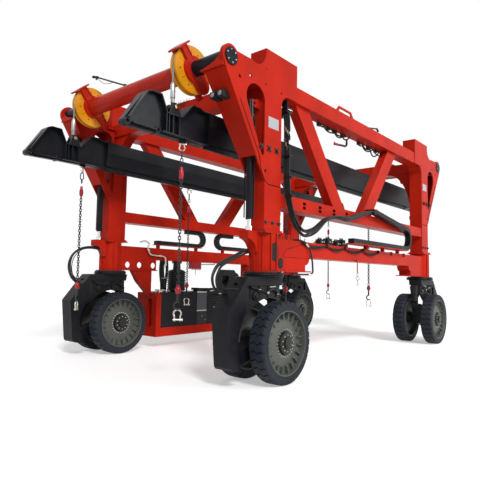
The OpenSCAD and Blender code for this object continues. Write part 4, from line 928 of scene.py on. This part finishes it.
# Route of the bundle down behind the column and along the middle beam: x, y towards the front, z
BUNDLE = [
    (1.715, 2.445, 3.868), (1.73, 2.445, 3.78), (1.775, 2.49, 3.68), (1.815, 2.52, 3.56), (1.832, 2.535, 3.4),
    (1.84, 2.545, 3.2), (1.85, 2.56, 3.0), (1.862, 2.575, 2.8), (1.876, 2.58, 2.6), (1.89, 2.56, 2.42),
    (1.898, 2.48, 2.24), (1.902, 2.35, 2.11), (1.902, 2.155, 2.032), (1.9, 1.888, 2.086), (1.898, 1.577, 2.252),
    (1.895, 1.242, 2.326), (1.892, 0.916, 2.337), (1.889, 0.568, 2.425), (1.886, 0.234, 2.51), (1.886, 0.06, 2.536),
    (1.886, 0.002, 2.539)]


def sag_at(i, start, count):
    """The sag of the bundle at its point i, as a share: a half wave over count points from start."""
    return sin(pi * min(1.0, max(0.0, (i - start) / count)))


bundle, unions, barrel_lines = shapes(3, 1, -1)
for k in range(7):
    across, over = (k % 4) * 0.027, (k // 4) * 0.026
    path = []
    for i, (x, y, z) in enumerate(BUNDLE):
        sag = (0.012 * k + 0.018 * (k % 2)) * sag_at(i, 8, 6) + 0.016 * (k % 3) * sag_at(i, 15, 4)
        # the second layer lies behind the first down the column and below it along the beam
        back, down = (over, 0.0) if i < 10 else (0.5 * over, over)
        path.append((x + across, y - back, z - sag - down))
    bundle.tube(path, 0.0125, 10, 4)
    for z in (3.44 - 0.035 * k, 3.255 - 0.02 * ((k * 3) % 7)):
        x, y, _ = min(BUNDLE, key=lambda p: abs(p[2] - z))
        unions.stub((x + across, y - over, z + 0.028), -UP, 0.056, 0.0175)
for z in (3.02, 2.72, 2.46):
    shift = 0.09 * (3.02 - z)
    bundle.block((1.835 + shift, 2.525, z - 0.012), (1.955 + shift, 2.59, z + 0.012))
bundle.block((1.7, 2.4, 3.66), (1.86, 2.52, 3.7395))
for i in range(4):
    unions.rod((1.73 + 0.036 * i, 2.46, 3.662), (1.75 + 0.03 * i, 2.49, 3.6), 0.015, 6)
    unions.stub((1.859, 2.425 + 0.026 * i, 3.7), X, 0.021, 0.01)
bundle.done("hose_bundle", "rubber", "upper_frame", replaces=("hoses",))
unions.done("hose_unions", "zinc", "upper_frame")

# pale pipes in front of the right front lift barrel
for x in (1.735, 1.77):
    barrel_lines.tube(at_x(x, (3.182, 3.02), (3.188, 3.1), (3.19, 3.3), (3.19, 3.6))
                      + [(x - 0.01, 3.18, 3.68)], 0.01, 10)
for z in (3.12, 3.45):
    barrel_lines.block((1.722, 3.165, z), (1.783, 3.203, z + 0.02))
barrel_lines.done("barrel_lines", "cooler", "upper_frame")

# ---- Right top beam: hoses that hang below it, the small arm on it ----

# Columns: y where a hose starts, length, sag, x
HANGING = [
    (1.34, 0.3, 0.035, 1.632), (1.12, 0.42, 0.065, 1.622), (1.2, 0.34, 0.03, 1.642), (0.8, 0.36, 0.085, 1.628),
    (0.86, 0.5, 0.045, 1.618), (0.55, 0.28, 0.075, 1.636), (-0.06, 0.26, 0.05, 1.626), (-0.24, 0.44, 0.1, 1.632),
    (-0.3, 0.34, 0.06, 1.62), (-0.58, 0.38, 0.135, 1.626), (-0.7, 0.52, 0.08, 1.638), (-1.02, 0.26, 0.12, 1.63)]
hang, hang_red, hang_zinc = shapes(3, 1, -1)
under = TOP_BEAM_UNDER
for y, length, deep, x in HANGING:
    hang.tube([(x, y + 0.02, under + 0.004), (x, y - 0.03, under - 0.55 * deep), (x, y - 0.3 * length, under - deep),
               (x - 0.006, y - 0.62 * length, under - 0.86 * deep), (x, y - length + 0.03, under - 0.35 * deep),
               (x, y - length, under + 0.004)], 0.013)
for y in (1.3, 1.02, 0.78, 0.52, -0.1, -0.48, -0.8, -1.16):
    hang.block((1.606, y - 0.035, under - 0.05), (1.66, y + 0.035, under + 0.001))
    hang_zinc.stub((1.592, y, under - 0.026), X, 0.015, 0.011)
hang.tube([(1.63, y, under - drop) for y, drop in (
    (0.36, 0.06), (0.36, 0.14), (0.4, 0.185), (0.52, 0.2), (0.64, 0.215), (0.74, 0.225))], 0.018, 10)
hang_red.rod((1.63, 0.68, under - 0.218), (1.63, 0.79, under - 0.232), 0.021)
hang_red.stub((1.63, 0.785, under - 0.195), -UP, 0.055, 0.012, 10)
hang.stub((1.76, -0.1, 4.099), UP, 0.031, 0.018, 10)
hang.rod((1.76, -0.06, 4.112), (1.76, -0.6, 4.218), 0.014, 10)
hang.rod((1.76, -0.58, 4.222), (1.76, -0.655, 4.18), 0.02, 10)
hang.tube([(1.79, -0.05, 4.102), (1.8, -0.16, 4.112), (1.79, -0.26, 4.118), (1.78, -0.36, 4.15)], 0.008)
hang_red.tube([(1.74, 0.22, 4.102), (1.75, 0.1, 4.135), (1.76, -0.02, 4.14), (1.76, -0.12, 4.128)], 0.012)
hang.done("top_beam_hoses", "rubber", "upper_frame")
hang_red.done("top_beam_hook", "deep_red", "upper_frame")
hang_zinc.done("top_beam_unions", "zinc", "upper_frame")

# ---- Front cross beam: valve pack ----

pack, pack_zinc = shapes(2, 1, -1)
pack.block((-0.05, 2.8, 3.999), (0.27, 2.92, 4.075))
for i in range(5):
    x = -0.02 + 0.064 * i
    pack_zinc.stub((x, 2.86, 4.074), UP, 0.051 + 0.012 * (i % 2), 0.017, 12)
    pack_zinc.stub((x, 2.919, 4.035), Y, 0.031, 0.013)
    pack.tube([(x + shift, y, z) for shift, y, z in (
        (0, 2.945, 4.035), (0, 2.985, 4.03), (0.01, 3.0, 3.99), (0.02, 2.985, 3.93), (0.02, 2.962, 3.88))], 0.009)
pack.done("valve_pack", "lamp", "upper_frame", bevel=0.002)
pack_zinc.done("valve_pack_unions", "zinc", "upper_frame")

# ---- Left side: pipe on the gusset, box under the beam, fittings of the power pack ----

pipe, box, rods, intake, fit, motor, lower = shapes(7, -1, -1)
pipe.tube([(1.585, 2.31, 1.965), (1.575, 2.2, 1.99), (1.565, 2.11, 1.945)] + at_x(
    1.56, (2.15, 1.87), (2.11, 1.775), (2.05, 1.735), (1.92, 1.727), (1.78, 1.722), (1.715, 1.69),
    (1.7, 1.6), (1.735, 1.5)), 0.016, 12)
for y0, z0, y1, z1 in ((2.118, 1.8, 2.135, 1.84), (1.86, 1.7265, 1.8, 1.7235), (1.7, 1.585, 1.708, 1.54)):
    pipe.rod((1.56, y0, z0), (1.56, y1, z1), 0.022, 6)
pipe.done("gusset_pipe", "zinc", "base")
box.block((1.602, 0.67, 1.5), (1.7, 0.95, LOWER_BEAM_UNDER))
box.done("beam_box", "deep_red", "base", bevel=0.003)
rods.rod((1.63, 0.67, 1.6), (1.63, 0.235, 1.612), 0.011, 10)
rods.rod((1.63, 0.235, 1.612), (1.66, 0.2, LOWER_BEAM_UNDER), 0.008, 8)
rods.stub((1.63, 0.81, 1.5), -UP, 0.12, 0.006, 8)
rods.stub((1.6, 0.955, 1.488), -Y, 0.265, 0.008, 8)
rods.done("beam_box_rods", "steel", "base")

# intake filter with its pleats, the two hoses that come down to it, a filler cap and the pipe on the tank
rows = [(0.0, 0.11), (0.02, 0.15)]
for i in range(9):
    rows += [(rise + 0.042 * i, r) for rise, r in ((0.04, 0.186), (0.064, 0.186), (0.068, 0.168), (0.078, 0.168))]
rows += [(0.43, 0.15), (0.45, 0.08), (0.6, 0.07)]
intake.lathe((1.7, 1.275, 1.03), UP, rows, 36)
intake.block((1.62, 1.215, 1.6), (1.78, 1.335, LOWER_BEAM_UNDER))


def swayed(y, lean, z):
    """A point of an intake hose at height z: it sways along the machine as it comes down."""
    return 1.66, y + lean * sin(0.9 * (1.66 - z) / 0.105), z


for y, r, lean in ((1.69, 0.05, 0.02), (1.59, 0.028, -0.02)):
    intake.tube([swayed(y, lean, 1.66 - 0.105 * i) for i in range(7)], r, 14, 4)
    for i in range(14):
        intake.ring(swayed(y, lean, 1.62 - 0.04 * i), UP, r, 0.005, 20, 6)
intake.lathe((1.6, 0.83, 1.034), UP, [(0.0, 0.05), (0.03, 0.05), (0.034, 0.092), (0.07, 0.092), (0.078, 0.08)], 28)
intake.tube([(1.45, 1.8, 1.05), (1.46, 1.66, 1.075), (1.48, 1.5, 1.09), (1.5, 1.36, 1.085), (1.52, 1.25, 1.06)],
            0.014, 10)
intake.done("intake_filter", "lamp", "base")

# fittings on the tank and the cooler
fit.block((1.47, 1.8, 1.034), (1.55, 1.9, 1.085))
for x, y, h in ((1.45, 1.93, 0.05), (1.52, 1.955, 0.06), (1.45, 1.76, 0.045), (1.5, 1.7, 0.04)):
    fit.stub((x, y, 1.024), UP, 0.011 + h, 0.018, 12)
fit.stub((1.45, 1.93, 1.07), -Y, 0.23, 0.01, 10)
fit.ring((1.605, 1.6, 1.42), UP, 0.031, 0.005, 20, 6)
fit.ring((1.605, 1.69, 1.3), UP, 0.054, 0.005, 24, 6)
fit.stub((1.45, 1.36, 1.052), -Y, 0.31, 0.008, 10)
for z0, z1 in ((1.014, 1.04), (0.64, 0.662)):
    fit.block((1.4275, 0.662, z0), (1.43, 0.942, z1))
for y, z, length in ((0.56, 1.045, 0.1), (0.3, 0.985, 0.13), (0.45, 0.7, 0.02), (0.36, 0.52, 0.02),
                     (0.8, 0.53, 0.02), (0.71, 0.45, 0.02)):
    fit.rod((1.435, y, z), (1.435, y - length, z + 0.01), 0.013, 10)
fit.done("power_pack_unions", "zinc", "base")

# engine: block, cover with ribs, air cleaner, and the frame with a window beside it
motor.block((1.46, -0.608, 0.225), (1.91, 0.642, 0.95))
motor.block((1.52, -0.508, 0.949), (1.85, 0.582, 1.06))
for i in range(6):
    motor.block((1.54, 0.4 - 0.17 * i, 1.059), (1.83, 0.53 - 0.17 * i, 1.1))
motor.lathe((1.7, -0.02, 1.33), -Y, [
    (0.0, 0.09), (0.01, 0.118), (0.1, 0.12), (0.104, 0.112), (0.42, 0.112), (0.424, 0.12), (0.53, 0.118),
    (0.54, 0.09)], 32)
motor.block((1.66, -0.45, 1.059), (1.74, -0.1, 1.225))
rim = [(0.235, 1.075), (-0.35, 1.075), (-0.35, 1.43), (-0.28, 1.505), (0.165, 1.505), (0.235, 1.43)]
window = [(0.12, 1.2), (0.01, 1.13), (-0.08, 1.2), (-0.11, 1.3), (-0.11, 1.375), (0.12, 1.375)]
for i in range(len(rim)):
    j = (i + 1) % len(rim)
    motor.prism("x", 1.5, 1.545, (rim[i], rim[j], window[j], window[i]))
motor.done("engine_block", "engine", "base", bevel=0.004, replaces=("engine",))

lower.block((1.4245, 0.655, 0.225), (1.43, 0.948, 0.636))
for i in range(9):
    z = 0.5 + 0.052 * i
    lower.tube([(1.452, 0.63, z), (1.44, 0.5, z + 0.01 * sin(2.1 * i)),
                (1.44, 0.36, z - 0.012 * cos(1.3 * i)), (1.45, 0.2, z)], 0.013)
lower.done("power_pack_hoses", "rubber", "base")

# ---- Floor ----

bpy.ops.mesh.primitive_plane_add(size=160.0, location=(0.0, 0.0, 0.0))
floor = bpy.context.object
floor.name = "floor"
floor.data.materials.append(M["floor"])
# the camera sees the floor a little lighter than it is, as a white studio floor, with its shadows
tree = M["floor"].node_tree
glow = tree.nodes["Principled BSDF"]
glow.inputs["Emission Color"].default_value = (1.0, 1.0, 1.0, 1.0)
put(tree, ramp(tree, seen_directly(tree), 0.0, 1.0, 0.0, 0.38), glow.inputs["Emission Strength"])
